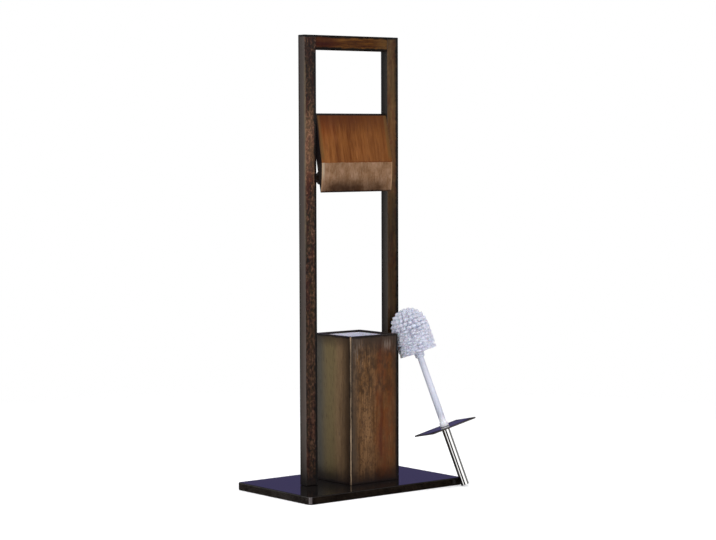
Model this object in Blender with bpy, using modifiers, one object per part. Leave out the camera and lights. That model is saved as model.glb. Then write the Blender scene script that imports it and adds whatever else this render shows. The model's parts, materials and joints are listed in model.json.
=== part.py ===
"""Toilet butler stand: a frame on a heavy base, a paper holder under a hinged wooden flap,
a brush box with a lift-out cup, and a brush that leans beside the box.

Metres, +Z up, front towards -Y. The origin is the centre of the base's underside, and the
frame stands over it. Run it with: blender --background --python part.py
"""

import math

import bmesh
import bpy
from mathutils import Matrix, Vector

# Clearances
FIT_GAP = 0.0003  # between faces that touch on the real object
OVERRUN = 0.002  # how far a cutter runs past the face that it opens
MERGE = 0.00001

# Base plate
BASE_LENGTH = 0.352
BASE_DEPTH = 0.217
BASE_THICKNESS = 0.014
BASE_CORNER_RADIUS = 0.006
BASE_EDGE_RADIUS = 0.0015

# Frame: two posts and a rail between their tops
FRAME_HEIGHT = 0.820
FRAME_WIDTH = 0.216
POST_WIDTH = 0.026
POST_DEPTH = 0.019
POST_ARRIS = 0.0008
RAIL_HEIGHT = 0.026
DOWEL_RADIUS = 0.003
DOWEL_IN_POST = 0.015
DOWEL_IN_RAIL = 0.018
DOWEL_SPACING_SHARE = 0.46  # of the rail's height
DOWEL_CHAMFER = 0.0006

# Wood screws, driven up from under the base
SCREW_RADIUS = 0.002
SCREW_HEAD_RADIUS = 0.004
SCREW_HEAD_HEIGHT = 0.0024
SCREW_HEAD_RIM = 0.0004
SCREW_HEAD_RECESS = 0.0006
SCREW_POINT = 0.004
SCREW_IN_POST = 0.036
SCREW_SPACING_SHARE = 0.46  # of the post's width
SCREW_COVER = 0.0025  # wood of the box's floor left over a screw's point
BOX_SCREW_SPACING = 0.050

# Flap over the paper roll, in its own plane: along it from the pins, and through it
FLAP_PIN_DROP = 0.1465  # pins below the frame's top
FLAP_THICKNESS = 0.015
FLAP_REACH = 0.135  # pins to lower edge
FLAP_CREASE = 0.084  # pins to where the lip starts
FLAP_TIP_THICKNESS = 0.0010
FLAP_LIP_BULGE = 0.0012
FLAP_END_GAP = 0.0006
FLAP_ARRIS = 0.0007
FLAP_PIN_RADIUS = 0.0025
FLAP_PIN_IN_POST = 0.012
FLAP_PIN_IN_FLAP = 0.014
FLAP_PIN_CHAMFER = 0.0004

# Pegs that carry the paper roller
PEG_RADIUS = 0.0075
PEG_LENGTH = 0.013
PEG_EDGE = 0.0010
PEG_SHANK_RADIUS = 0.004
PEG_SHANK_LENGTH = 0.010
PEG_SOCKET_DEPTH = 0.0085

# Paper roller: two halves that slide into each other over a spring
ROLLER_DROP = 0.108  # below the flap's pins
ROLLER_RADIUS = 0.0137
ROLLER_WALL = 0.0013
ROLLER_END_WALL = 0.002
ROLLER_INNER_SHOWS = 0.050  # length of the inner half that shows
ROLLER_OVERLAP = 0.045  # length of the inner half inside the outer half
ROLLER_EDGE = 0.0008
SPINDLE_RADIUS = 0.004
SPINDLE_END_GAP = 0.001
SPRING_CLEARANCE = 0.0017  # round the spring, in the inner half's bore
SPRING_WIRE_RADIUS = 0.0006
SPRING_TURNS = 14
SPRING_POINTS_PER_TURN = 8

# Brush box: four mitred walls and a floor
BOX_WIDTH = 0.110
BOX_HEIGHT = 0.267
BOX_WALL = 0.009
BOX_FLOOR = 0.009
BOX_FLOOR_CLEARANCE = 0.0003
BOX_CORNER_FLAT = 0.0007  # how far the worn corner takes off each wall
BOX_ARRIS = 0.0006
BOX_TO_POST = 0.013  # between the box's right side and the right post
BOX_BEHIND = 0.002  # box's centre behind the posts' centre

# Lift-out cup in the box
CUP_CLEARANCE = 0.00075
CUP_WALL = 0.002
CUP_DRAFT = 0.0025  # how much narrower each side is at the bottom
CUP_CORNER_RADIUS = 0.008

# Brush handle, along the brush's axis from its end
HANDLE_RADIUS = 0.0075
HANDLE_WALL = 0.0010
HANDLE_LENGTH = 0.110
HANDLE_EDGE = 0.0004
CAP_LENGTH = 0.006
CAP_RECESS = 0.0004
CAP_EDGE = 0.0005
INSERT_LENGTH = 0.024
STUD_RADIUS = 0.003
STUD_IN_HANDLE = 0.022
STUD_IN_STEM = 0.012
STUD_CHAMFER = 0.0005

# Square lid on the brush, which closes the box
LID_CLEARANCE = 0.001
LID_THICKNESS = 0.0026
LID_BELOW_BOX = 0.0006  # how far the closed lid lies below the box's top
LID_CORNER_RADIUS = 0.002
LID_ARRIS = 0.0006

# Moulded stem
COLLAR_RADIUS = 0.0079
COLLAR_LENGTH = 0.008
COLLAR_EDGE = 0.0012
STEM_LENGTH = 0.143  # lid to brush head
STEM_RADIUS_AT_COLLAR = 0.0062
STEM_RADIUS_AT_HEAD = 0.0057
FLANGE_RADIUS = 0.0092
FLANGE_LENGTH = 0.008
FLANGE_TAPER = 0.0015
SPIGOT_RADIUS = 0.0055
SPIGOT_LENGTH = 0.020

# Brush head
HEAD_LENGTH = 0.086
HEAD_RADIUS = 0.0358
DOME_HEIGHT = 0.036  # of the bristle tips, at the far end
CORE_RADIUS = 0.0125
CORE_END_MARGIN = 0.0030  # core's end to the first row of bristles
BRISTLE_ROWS = 9
BRISTLES_PER_ROW = 16
DOME_ROWS = 6
BRISTLE_SIDES = 6
BRISTLE_ROOT_RADIUS = 0.0012
BRISTLE_TIP_RADIUS = 0.0026
BRISTLE_SUNK = 0.0020

# Where the brush stands: its foot on the floor, clear of the base
BRUSH_FOOT_FROM_BOX = 0.102  # to the right of the box's right side
BRUSH_FOOT_GAP = 0.007  # in front of the base
BRUSH_TURN = math.radians(33)  # of the lid about the brush's axis
LEAN_STEPS = 30

# Facets
ROUND_SIDES = 24
SMALL_SIDES = 16
CORNER_SEGMENTS = 4
EDGE_SEGMENTS = 2
LIP_SEGMENTS = 8
CROWN_SEGMENTS = 10
DOME_SEGMENTS = 5
SHARP_ANGLE = math.radians(35)
BEVEL_ANGLE = math.radians(50)

# Places that follow from the sizes
INNER_HALF = FRAME_WIDTH / 2 - POST_WIDTH
POST_FOOT = BASE_THICKNESS + FIT_GAP
PIN_HEIGHT = FRAME_HEIGHT - FLAP_PIN_DROP
ROLLER_HEIGHT = PIN_HEIGHT - ROLLER_DROP
ROLLER_END = INNER_HALF - FIT_GAP - PEG_LENGTH - FIT_GAP
BOX_FOOT = BASE_THICKNESS + FIT_GAP
BOX_TOP = BOX_FOOT + BOX_HEIGHT
BOX_OPENING = BOX_WIDTH - 2 * BOX_WALL
BOX_CENTRE = Vector((INNER_HALF - BOX_TO_POST - BOX_WIDTH / 2, BOX_BEHIND, 0))
LID_START = HANDLE_LENGTH + FIT_GAP
STEM_START = LID_START + LID_THICKNESS + FIT_GAP
HEAD_START = STEM_START + STEM_LENGTH + FIT_GAP
DOME_START = HEAD_LENGTH - DOME_HEIGHT
BRISTLE_REACH = math.hypot(HEAD_RADIUS, BRISTLE_TIP_RADIUS)
SIDES = (("left", -1), ("right", 1))


def collection(name, helper=False):
    made = bpy.data.collections.new(name)
    bpy.context.scene.collection.children.link(made)
    made.hide_render = helper
    return made


def material(name, colour, roughness, metallic=0.0):
    made = bpy.data.materials.new(name)
    made.use_nodes = True
    shader = made.node_tree.nodes["Principled BSDF"]
    shader.inputs["Base Color"].default_value = (*colour, 1.0)
    shader.inputs["Roughness"].default_value = roughness
    shader.inputs["Metallic"].default_value = metallic
    made.diffuse_color = (*colour, 1.0)
    return made


def add_object(name, data, finish=None):
    """A new object in the part's collection, or a hidden cutter where it has no finish."""
    obj = bpy.data.objects.new(name, data)
    if finish:
        PARTS.objects.link(obj)
        data.materials.append(finish)
    else:
        CUTTERS.objects.link(obj)
        obj.hide_render = True
        obj.display_type = "WIRE"
    return obj


def empty(name, matrix):
    """An empty that carries the pieces of one group."""
    obj = bpy.data.objects.new(name, None)
    PARTS.objects.link(obj)
    obj.matrix_basis = matrix
    return obj


def place(obj, matrix, parent=None):
    obj.parent = parent
    obj.matrix_basis = matrix
    return obj


def shift(x=0.0, y=0.0, z=0.0):
    return Matrix.Translation((x, y, z))


def along(start, direction):
    """The matrix that puts an object's origin at start and its Z along direction."""
    turn = Vector(direction).to_track_quat("Z", "Y")
    return Matrix.Translation(start) @ turn.to_matrix().to_4x4()


def baked(obj):
    """The object with its modifiers, or its curve, turned into one welded mesh."""
    name = obj.name
    bpy.context.view_layer.update()
    graph = bpy.context.evaluated_depsgraph_get()
    mesh = bpy.data.meshes.new_from_object(obj.evaluated_get(graph))
    weld = bmesh.new()
    weld.from_mesh(mesh)
    bmesh.ops.remove_doubles(weld, verts=weld.verts, dist=MERGE)
    weld.to_mesh(mesh)
    weld.free()
    made = bpy.data.objects.new(name, mesh)
    for owner in obj.users_collection:
        owner.objects.link(made)
    made.hide_render = obj.hide_render
    made.display_type = obj.display_type
    made.matrix_world = obj.matrix_world
    bpy.data.objects.remove(obj, do_unlink=True)
    made.name = name
    return made


def smooth(obj):
    obj.data.shade_smooth()
    obj.data.set_sharp_from_angle(angle=SHARP_ANGLE)
    return obj


def bevel(obj, width, segments=1):
    edge = obj.modifiers.new("arris", "BEVEL")
    edge.width = width
    edge.segments = segments
    edge.limit_method = "ANGLE"
    edge.angle_limit = BEVEL_ANGLE
    return obj


def cut(obj, cutters):
    for cutter in cutters:
        opening = obj.modifiers.new(cutter.name, "BOOLEAN")
        opening.operation = "DIFFERENCE"
        opening.object = cutter
    return obj


def block(name, size, finish, corner_radius=0.0):
    """A box about its origin, its upright edges rounded where it has a corner radius."""
    shape = bmesh.new()
    bmesh.ops.create_cube(shape, size=1.0)
    upright = [e for e in shape.edges if e.verts[0].co.xy == e.verts[1].co.xy]
    bmesh.ops.scale(shape, vec=size, verts=shape.verts)
    if corner_radius:
        round_off(shape, upright, corner_radius)
    mesh = bpy.data.meshes.new(name)
    shape.to_mesh(mesh)
    shape.free()
    return add_object(name, mesh, finish)


def round_off(shape, edges, radius):
    bmesh.ops.bevel(
        shape,
        geom=edges,
        offset=radius,
        segments=CORNER_SEGMENTS,
        profile=0.5,
        affect="EDGES",
    )


def turned(name, profile, finish=None, loop=False, sides=ROUND_SIDES):
    """A profile of (radius, height) turned about Z. It runs down the outer side, top to
    bottom, and a loop closes on itself, as round a bore."""
    count = len(profile)
    edges = [(i, (i + 1) % count) for i in range(count if loop else count - 1)]
    mesh = bpy.data.meshes.new(name)
    mesh.from_pydata([(radius, 0, height) for radius, height in profile], edges, [])
    obj = add_object(name, mesh, finish)
    screw = obj.modifiers.new("turn", "SCREW")
    screw.steps = sides
    screw.render_steps = sides
    screw.use_merge_vertices = True
    screw.merge_threshold = MERGE
    return smooth(baked(obj))


def flat_outline(name, points, thickness, finish):
    """A closed outline in XY, extruded both ways along Z."""
    curve = bpy.data.curves.new(name, "CURVE")
    curve.dimensions = "2D"
    curve.fill_mode = "BOTH"
    curve.extrude = thickness / 2
    spline = curve.splines.new("POLY")
    spline.points.add(len(points) - 1)
    for point, (x, y) in zip(spline.points, points):
        point.co = (x, y, 0, 1)
    spline.use_cyclic_u = True
    return baked(add_object(name, curve, finish))


def pin_profile(radius, length, chamfer):
    return [
        (0, length),
        (radius - chamfer, length),
        (radius, length - chamfer),
        (radius, chamfer),
        (radius - chamfer, 0),
        (0, 0),
    ]


def pin(name, start, direction, radius, length, chamfer, finish):
    shape = turned(name, pin_profile(radius, length, chamfer), finish, sides=SMALL_SIDES)
    return place(shape, along(start, direction))


def hole(name, start, direction, radius, depth):
    """A round cutter for a pin of this radius: from start to depth, with the fit's clearance."""
    profile = [
        (0, depth + FIT_GAP),
        (radius + FIT_GAP, depth + FIT_GAP),
        (radius + FIT_GAP, -OVERRUN),
        (0, -OVERRUN),
    ]
    return place(turned(f"cut_{name}", profile, sides=SMALL_SIDES), along(start, direction))


def arc(radius, start, end, segments):
    """Points on an arc about the origin, both ends included."""
    for i in range(segments + 1):
        angle = start + (end - start) * i / segments
        yield radius * math.cos(angle), radius * math.sin(angle)


def bowed(start, end, bulge, segments):
    """Points on a shallow arc between two points, its middle raised to the right by bulge."""
    start = Vector(start)
    chord = Vector(end) - start
    raised = Vector((chord.y, -chord.x)).normalized() * bulge
    for i in range(segments + 1):
        share = i / segments
        yield tuple(start + chord * share + raised * 4 * share * (1 - share))


def screw_spots():
    """Name, place under the base and length of every screw."""
    post_length = BASE_THICKNESS + SCREW_IN_POST - SCREW_HEAD_RECESS
    spread = SCREW_SPACING_SHARE * POST_WIDTH / 2
    for word, side in SIDES:
        middle = side * (INNER_HALF + POST_WIDTH / 2)
        yield f"{word}_post_screw_outer", shift(middle + side * spread), post_length
        yield f"{word}_post_screw_inner", shift(middle - side * spread), post_length
    box_length = BOX_FOOT + BOX_FLOOR - SCREW_COVER - SCREW_HEAD_RECESS
    spread = BOX_SCREW_SPACING / 2
    yield "box_screw_front", shift(BOX_CENTRE.x, BOX_CENTRE.y - spread), box_length
    yield "box_screw_rear", shift(BOX_CENTRE.x, BOX_CENTRE.y + spread), box_length


def screw_profile(length, gap, below):
    """A countersunk screw, point up, its head's under face at height zero."""
    radius = SCREW_RADIUS + gap
    head = SCREW_HEAD_RADIUS + gap
    return [
        (0, length + gap),
        (radius, length - SCREW_POINT + gap),
        (radius, SCREW_HEAD_HEIGHT + gap),
        (head, SCREW_HEAD_RIM + gap),
        (head, -below),
        (0, -below),
    ]


def screws():
    for name, spot, length in screw_spots():
        shape = turned(name, screw_profile(length, 0, 0), STEEL, sides=SMALL_SIDES)
        place(shape, spot @ shift(z=SCREW_HEAD_RECESS))


def screw_holes(owner, kind=""):
    """Cutters for the screws whose names hold a word, for one piece that they pass into."""
    cutters = []
    for name, spot, length in screw_spots():
        if kind in name:
            profile = screw_profile(length, FIT_GAP, SCREW_HEAD_RECESS + OVERRUN)
            cutter = turned(f"cut_{owner}_{name}", profile, sides=SMALL_SIDES)
            cutters.append(place(cutter, spot @ shift(z=SCREW_HEAD_RECESS)))
    return cutters


def base_plate():
    size = (BASE_LENGTH, BASE_DEPTH, BASE_THICKNESS)
    plate = block("base_plate", size, LACQUER, BASE_CORNER_RADIUS)
    place(plate, shift(z=BASE_THICKNESS / 2))
    cut(bevel(plate, BASE_EDGE_RADIUS, EDGE_SEGMENTS), screw_holes("base"))


def dowel_spots(side):
    """Where the dowels at one end of the rail cross its joint with the post."""
    middle = FRAME_HEIGHT - RAIL_HEIGHT / 2
    spread = DOWEL_SPACING_SHARE * RAIL_HEIGHT / 2
    yield "upper", Vector((side * INNER_HALF, 0, middle + spread))
    yield "lower", Vector((side * INNER_HALF, 0, middle - spread))


def post(word, side):
    """An upright post, with the holes for its screws, dowels, flap pin and peg."""
    height = FRAME_HEIGHT - POST_FOOT
    shape = block(f"{word}_post", (POST_WIDTH, POST_DEPTH, height), POST_WOOD)
    place(shape, shift(side * (INNER_HALF + POST_WIDTH / 2), 0, POST_FOOT + height / 2))
    outward = (side, 0, 0)
    cutters = screw_holes("post", f"{word}_post")
    for which, spot in dowel_spots(side):
        name = f"{word}_post_dowel_{which}"
        cutters.append(hole(name, spot, outward, DOWEL_RADIUS, DOWEL_IN_POST))
    spot = (side * INNER_HALF, 0, PIN_HEIGHT)
    cutters.append(hole(f"{word}_post_pin", spot, outward, FLAP_PIN_RADIUS, FLAP_PIN_IN_POST))
    spot = (side * INNER_HALF, 0, ROLLER_HEIGHT)
    cutters.append(hole(f"{word}_post_peg", spot, outward, PEG_SHANK_RADIUS, PEG_SHANK_LENGTH))
    cut(bevel(shape, POST_ARRIS), cutters)


def top_rail():
    size = (2 * (INNER_HALF - FIT_GAP), POST_DEPTH, RAIL_HEIGHT)
    rail = place(block("top_rail", size, POST_WOOD), shift(z=FRAME_HEIGHT - RAIL_HEIGHT / 2))
    cutters = [
        hole(f"rail_{word}_{which}", spot, (-side, 0, 0), DOWEL_RADIUS, DOWEL_IN_RAIL)
        for word, side in SIDES
        for which, spot in dowel_spots(side)
    ]
    cut(bevel(rail, POST_ARRIS), cutters)


def dowels():
    length = DOWEL_IN_POST + DOWEL_IN_RAIL
    for word, side in SIDES:
        for which, spot in dowel_spots(side):
            start = spot - Vector((side * DOWEL_IN_RAIL, 0, 0))
            name = f"{word}_dowel_{which}"
            pin(name, start, (side, 0, 0), DOWEL_RADIUS, length, DOWEL_CHAMFER, PLAIN_WOOD)


def flap_tilt():
    """How far the flap leans forward when its back rests on the roller."""
    return math.asin((FLAP_THICKNESS / 2 + FIT_GAP + ROLLER_RADIUS) / ROLLER_DROP)


def flap_outline():
    """The flap's section about its pins: x towards its front face, y up."""
    half = FLAP_THICKNESS / 2
    tip = (FLAP_TIP_THICKNESS - half, -FLAP_REACH)
    lip = bowed(tip, (half, -FLAP_CREASE), FLAP_LIP_BULGE, LIP_SEGMENTS)
    crown = arc(half, 0, math.pi, CROWN_SEGMENTS)
    return [*lip, *crown, (-half, -FLAP_REACH)]


def flap():
    """A thick board, round at the top where its pins are, its lip bowed back to a thin edge."""
    width = 2 * (INNER_HALF - FLAP_END_GAP)
    board = flat_outline("flap", flap_outline(), width, FLAP_WOOD)
    upright = Matrix(((0, 0, -1), (-1, 0, 0), (0, 1, 0))).to_4x4()
    lean = Matrix.Rotation(-flap_tilt(), 4, "X")
    place(board, shift(z=PIN_HEIGHT) @ lean @ upright)
    cutters = []
    for word, side in SIDES:
        spot = (side * (INNER_HALF - FLAP_END_GAP), 0, PIN_HEIGHT)
        inward = (-side, 0, 0)
        cutters.append(hole(f"flap_{word}", spot, inward, FLAP_PIN_RADIUS, FLAP_PIN_IN_FLAP))
    cut(bevel(board, FLAP_ARRIS), cutters)


def flap_pins():
    length = FLAP_PIN_IN_POST + FLAP_END_GAP + FLAP_PIN_IN_FLAP
    for word, side in SIDES:
        start = (side * (INNER_HALF + FLAP_PIN_IN_POST - length), 0, PIN_HEIGHT)
        name = f"{word}_flap_pin"
        pin(name, start, (side, 0, 0), FLAP_PIN_RADIUS, length, FLAP_PIN_CHAMFER, STEEL)


def roller_pegs():
    """Turned pegs glued into the posts, each with a socket for one of the roller's spindles."""
    socket = SPINDLE_RADIUS + FIT_GAP
    profile = [
        (0, PEG_LENGTH - PEG_SOCKET_DEPTH),
        (socket, PEG_LENGTH - PEG_SOCKET_DEPTH),
        (socket, PEG_LENGTH),
        (PEG_RADIUS - PEG_EDGE, PEG_LENGTH),
        (PEG_RADIUS, PEG_LENGTH - PEG_EDGE),
        (PEG_RADIUS, 0),
        (PEG_SHANK_RADIUS, 0),
        (PEG_SHANK_RADIUS, -PEG_SHANK_LENGTH),
        (0, -PEG_SHANK_LENGTH),
    ]
    for word, side in SIDES:
        peg = turned(f"{word}_roller_peg", profile, PEG_WOOD)
        place(peg, along((side * (INNER_HALF - FIT_GAP), 0, ROLLER_HEIGHT), (-side, 0, 0)))


def roller_half(name, radius, length):
    """A tube open at one end, with a spindle on its closed end, where its origin is."""
    spindle = PEG_SOCKET_DEPTH - SPINDLE_END_GAP
    profile = [
        (0, spindle),
        (SPINDLE_RADIUS - ROLLER_EDGE, spindle),
        (SPINDLE_RADIUS, spindle - ROLLER_EDGE),
        (SPINDLE_RADIUS, 0),
        (radius - ROLLER_EDGE, 0),
        (radius, -ROLLER_EDGE),
        (radius, -length),
        (radius - ROLLER_WALL, -length),
        (radius - ROLLER_WALL, -ROLLER_END_WALL),
        (0, -ROLLER_END_WALL),
    ]
    return turned(name, profile, DARK_PLASTIC)


def roller():
    """The outer half on the right, the inner half sliding in it, and the spring inside both."""
    carrier = empty("roller", shift(z=ROLLER_HEIGHT))
    outer = roller_half("roller_outer_half", ROLLER_RADIUS, 2 * ROLLER_END - ROLLER_INNER_SHOWS)
    place(outer, along((ROLLER_END, 0, 0), (1, 0, 0)), carrier)
    inner_radius = ROLLER_RADIUS - ROLLER_WALL - FIT_GAP
    inner = roller_half("roller_inner_half", inner_radius, ROLLER_INNER_SHOWS + ROLLER_OVERLAP)
    place(inner, along((-ROLLER_END, 0, 0), (-1, 0, 0)), carrier)
    spring_radius = inner_radius - ROLLER_WALL - SPRING_CLEARANCE - SPRING_WIRE_RADIUS
    spring = coil("roller_spring", spring_radius, ROLLER_END - ROLLER_END_WALL - FIT_GAP)
    place(spring, Matrix(), carrier)


def coil(name, radius, half_length):
    """A compression spring along X, one unbroken wire."""
    reach = half_length - SPRING_WIRE_RADIUS
    count = SPRING_TURNS * SPRING_POINTS_PER_TURN
    points = []
    for i in range(count + 1):
        angle = math.tau * i / SPRING_POINTS_PER_TURN
        x = reach * (2 * i / count - 1)
        points.append(Vector((x, radius * math.cos(angle), radius * math.sin(angle))))
    half_turn = SPRING_POINTS_PER_TURN // 2
    nearest = min((a - b).length for i, a in enumerate(points) for b in points[i + half_turn :])
    print(f"{name}: least gap to itself {nearest - 2 * SPRING_WIRE_RADIUS:.4f} m")
    curve = bpy.data.curves.new(name, "CURVE")
    curve.dimensions = "3D"
    curve.bevel_depth = SPRING_WIRE_RADIUS
    curve.bevel_resolution = 1
    curve.use_fill_caps = True
    spline = curve.splines.new("POLY")
    spline.points.add(count)
    for point, spot in zip(spline.points, points):
        point.co = (*spot, 1)
    return smooth(baked(add_object(name, curve, STEEL)))


def wall_outline():
    """A wall's plan, its outer face at -Y: mitred ends, and the corners' outer points taken off."""
    half = BOX_WIDTH / 2
    inner = half - BOX_WALL
    slack = FIT_GAP / math.sqrt(2)
    flat_x = half - (BOX_CORNER_FLAT + slack) / 2
    flat_y = half - (BOX_CORNER_FLAT - slack) / 2
    return [
        (BOX_CORNER_FLAT - half, -half),
        (half - BOX_CORNER_FLAT, -half),
        (flat_x, -flat_y),
        (inner - slack, -inner),
        (slack - inner, -inner),
        (-flat_x, -flat_y),
    ]


def box():
    """Four walls with mitred corners round a floor that the screws hold."""
    carrier = empty("box", Matrix.Translation(BOX_CENTRE) @ shift(z=BOX_FOOT))
    for quarter, word in enumerate(("front", "right", "rear", "left")):
        wall = flat_outline(f"box_{word}_wall", wall_outline(), BOX_HEIGHT, BOX_WOOD)
        turn = Matrix.Rotation(quarter * math.pi / 2, 4, "Z")
        place(bevel(wall, BOX_ARRIS), shift(z=BOX_HEIGHT / 2) @ turn, carrier)
    width = BOX_OPENING - 2 * BOX_FLOOR_CLEARANCE
    floor = block("box_floor", (width, width, BOX_FLOOR), BOX_WOOD)
    place(cut(floor, screw_holes("floor", "box")), shift(z=BOX_FLOOR / 2), carrier)
    place(cup("insert_cup"), shift(z=BOX_FLOOR + FIT_GAP), carrier)


def cup(name):
    """A square moulded cup, open at the top and a little narrower at the bottom."""
    width = BOX_OPENING - 2 * CUP_CLEARANCE
    height = BOX_HEIGHT - BOX_FLOOR - FIT_GAP - LID_THICKNESS - LID_BELOW_BOX
    shape = bmesh.new()
    bmesh.ops.create_cube(shape, size=1.0)
    top = [f for f in shape.faces if f.normal.z > 0]
    low = [v for v in shape.verts if v.co.z < 0]
    bmesh.ops.scale(shape, vec=(width, width, height), verts=shape.verts)
    bmesh.ops.translate(shape, vec=(0, 0, height / 2), verts=shape.verts)
    narrower = 1 - 2 * CUP_DRAFT / width
    bmesh.ops.scale(shape, vec=(narrower, narrower, 1), verts=low)
    bmesh.ops.delete(shape, geom=top, context="FACES_ONLY")
    round_off(shape, [e for e in shape.edges if not e.is_boundary], CUP_CORNER_RADIUS)
    mesh = bpy.data.meshes.new(name)
    shape.to_mesh(mesh)
    shape.free()
    obj = smooth(add_object(name, mesh, WHITE_PLASTIC))
    shell = obj.modifiers.new("wall", "SOLIDIFY")
    shell.thickness = CUP_WALL
    shell.offset = -1
    shell.use_even_offset = True
    return obj


def brush_pose():
    """The brush's matrix. Its foot stands in front of the base, and its head leans in the
    corner between the box's right side and the right post's front face."""
    box_side = BOX_CENTRE.x + BOX_WIDTH / 2
    foot_x = box_side + BRUSH_FOOT_FROM_BOX
    foot_y = -BASE_DEPTH / 2 - BRUSH_FOOT_GAP - HANDLE_RADIUS
    before_post = -POST_DEPTH / 2 - FIT_GAP - BRISTLE_REACH
    slope_x = slope_y = 0.0
    for _ in range(LEAN_STEPS):
        rise = 1 / math.sqrt(1 + slope_x**2 + slope_y**2)
        foot_z = HANDLE_RADIUS * math.sqrt(1 - rise**2)
        beside_box = box_side + FIT_GAP + BRISTLE_REACH * math.sqrt(1 + slope_x**2)
        slope_x = (beside_box - foot_x) / (BOX_TOP - foot_z)
        slope_y = (before_post - foot_y) / ((HEAD_START + DOME_START) * rise)
    axis = Vector((slope_x, slope_y, 1)).normalized()
    across = Vector((0, 0, 1)).cross(axis).normalized()
    frame = Matrix((across, axis.cross(across), axis)).transposed().to_4x4()
    turn = Matrix.Rotation(BRUSH_TURN, 4, "Z")
    return shift(foot_x, foot_y, foot_z) @ frame @ turn


def handle(carrier):
    """A metal tube with a plug in its end and a threaded insert for the stud."""
    bore = HANDLE_RADIUS - HANDLE_WALL
    tube = [
        (HANDLE_RADIUS - HANDLE_EDGE, HANDLE_LENGTH),
        (HANDLE_RADIUS, HANDLE_LENGTH - HANDLE_EDGE),
        (HANDLE_RADIUS, HANDLE_EDGE),
        (HANDLE_RADIUS - HANDLE_EDGE, 0),
        (bore, 0),
        (bore, HANDLE_LENGTH),
    ]
    place(turned("handle_tube", tube, POLISHED_STEEL, loop=True), Matrix(), carrier)
    fitted = bore - FIT_GAP
    plug = pin_profile(fitted, CAP_LENGTH, CAP_EDGE)
    place(turned("handle_end_cap", plug, POLISHED_STEEL), shift(z=CAP_RECESS), carrier)
    stud_bore = STUD_RADIUS + FIT_GAP
    insert = [(fitted, INSERT_LENGTH), (fitted, 0), (stud_bore, 0), (stud_bore, INSERT_LENGTH)]
    thread = turned("handle_insert", insert, STEEL, loop=True)
    place(thread, shift(z=HANDLE_LENGTH - INSERT_LENGTH), carrier)


def stud(carrier):
    """The threaded rod that clamps the lid between the handle and the stem."""
    length = STUD_IN_HANDLE + STEM_START - HANDLE_LENGTH + STUD_IN_STEM
    profile = pin_profile(STUD_RADIUS, length, STUD_CHAMFER)
    shape = turned("threaded_stud", profile, STEEL, sides=SMALL_SIDES)
    place(shape, shift(z=HANDLE_LENGTH - STUD_IN_HANDLE), carrier)


def lid(carrier):
    width = BOX_OPENING - 2 * LID_CLEARANCE
    plate = block("brush_lid", (width, width, LID_THICKNESS), LACQUER, LID_CORNER_RADIUS)
    place(plate, shift(z=LID_START + LID_THICKNESS / 2), carrier)
    drill = hole("lid", (0, 0, 0), (0, 0, 1), STUD_RADIUS, LID_THICKNESS + OVERRUN)
    place(drill, shift(z=LID_START), carrier)
    cut(bevel(plate, LID_ARRIS), [drill])


def stem(carrier):
    """Collar, tapered shaft, flange, and the spigot that the head is pressed on."""
    flange = STEM_LENGTH - FLANGE_LENGTH
    stud_bore = STUD_RADIUS + FIT_GAP
    profile = [
        (0, STEM_LENGTH + SPIGOT_LENGTH),
        (SPIGOT_RADIUS, STEM_LENGTH + SPIGOT_LENGTH),
        (SPIGOT_RADIUS, STEM_LENGTH),
        (FLANGE_RADIUS, STEM_LENGTH),
        (FLANGE_RADIUS, flange),
        (STEM_RADIUS_AT_HEAD, flange - FLANGE_TAPER),
        (STEM_RADIUS_AT_COLLAR, COLLAR_LENGTH),
        (COLLAR_RADIUS - COLLAR_EDGE, COLLAR_LENGTH),
        (COLLAR_RADIUS, COLLAR_LENGTH - COLLAR_EDGE),
        (COLLAR_RADIUS, 0),
        (stud_bore, 0),
        (stud_bore, STUD_IN_STEM + FIT_GAP),
        (0, STUD_IN_STEM + FIT_GAP),
    ]
    place(turned("brush_stem", profile, WHITE_PLASTIC), shift(z=STEM_START), carrier)


def head_core():
    """The head's core: a cylinder with a round end, and a socket for the stem's spigot."""
    socket = SPIGOT_RADIUS + FIT_GAP
    end = arc(CORE_RADIUS, math.pi / 2, 0, DOME_SEGMENTS)
    profile = [(x, DOME_START + y) for x, y in end] + [
        (CORE_RADIUS, 0),
        (socket, 0),
        (socket, SPIGOT_LENGTH + FIT_GAP),
        (0, SPIGOT_LENGTH + FIT_GAP),
    ]
    return turned("brush_head", profile, WHITE_PLASTIC)


def ring_of_bristles(count, height, rise, stagger):
    """Height on the core's axis, direction and reach of each bristle in one ring."""
    reach = 1 / math.hypot(math.cos(rise) / HEAD_RADIUS, math.sin(rise) / DOME_HEIGHT)
    for i in range(count):
        angle = math.tau * (i + stagger / 2) / count
        out = Vector((math.cos(angle), math.sin(angle), 0)) * math.cos(rise)
        yield height, out + Vector((0, 0, math.sin(rise))), reach


def all_bristles():
    """Rows round the core, then rings that fan out over its round end."""
    for row in range(BRISTLE_ROWS):
        height = CORE_END_MARGIN + (DOME_START - CORE_END_MARGIN) * row / BRISTLE_ROWS
        yield from ring_of_bristles(BRISTLES_PER_ROW, height, 0, row % 2)
    for ring in range(DOME_ROWS + 1):
        rise = math.pi / 2 * ring / DOME_ROWS
        count = max(1, round(BRISTLES_PER_ROW * math.cos(rise)))
        yield from ring_of_bristles(count, DOME_START, rise, (BRISTLE_ROWS + ring) % 2)


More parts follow.
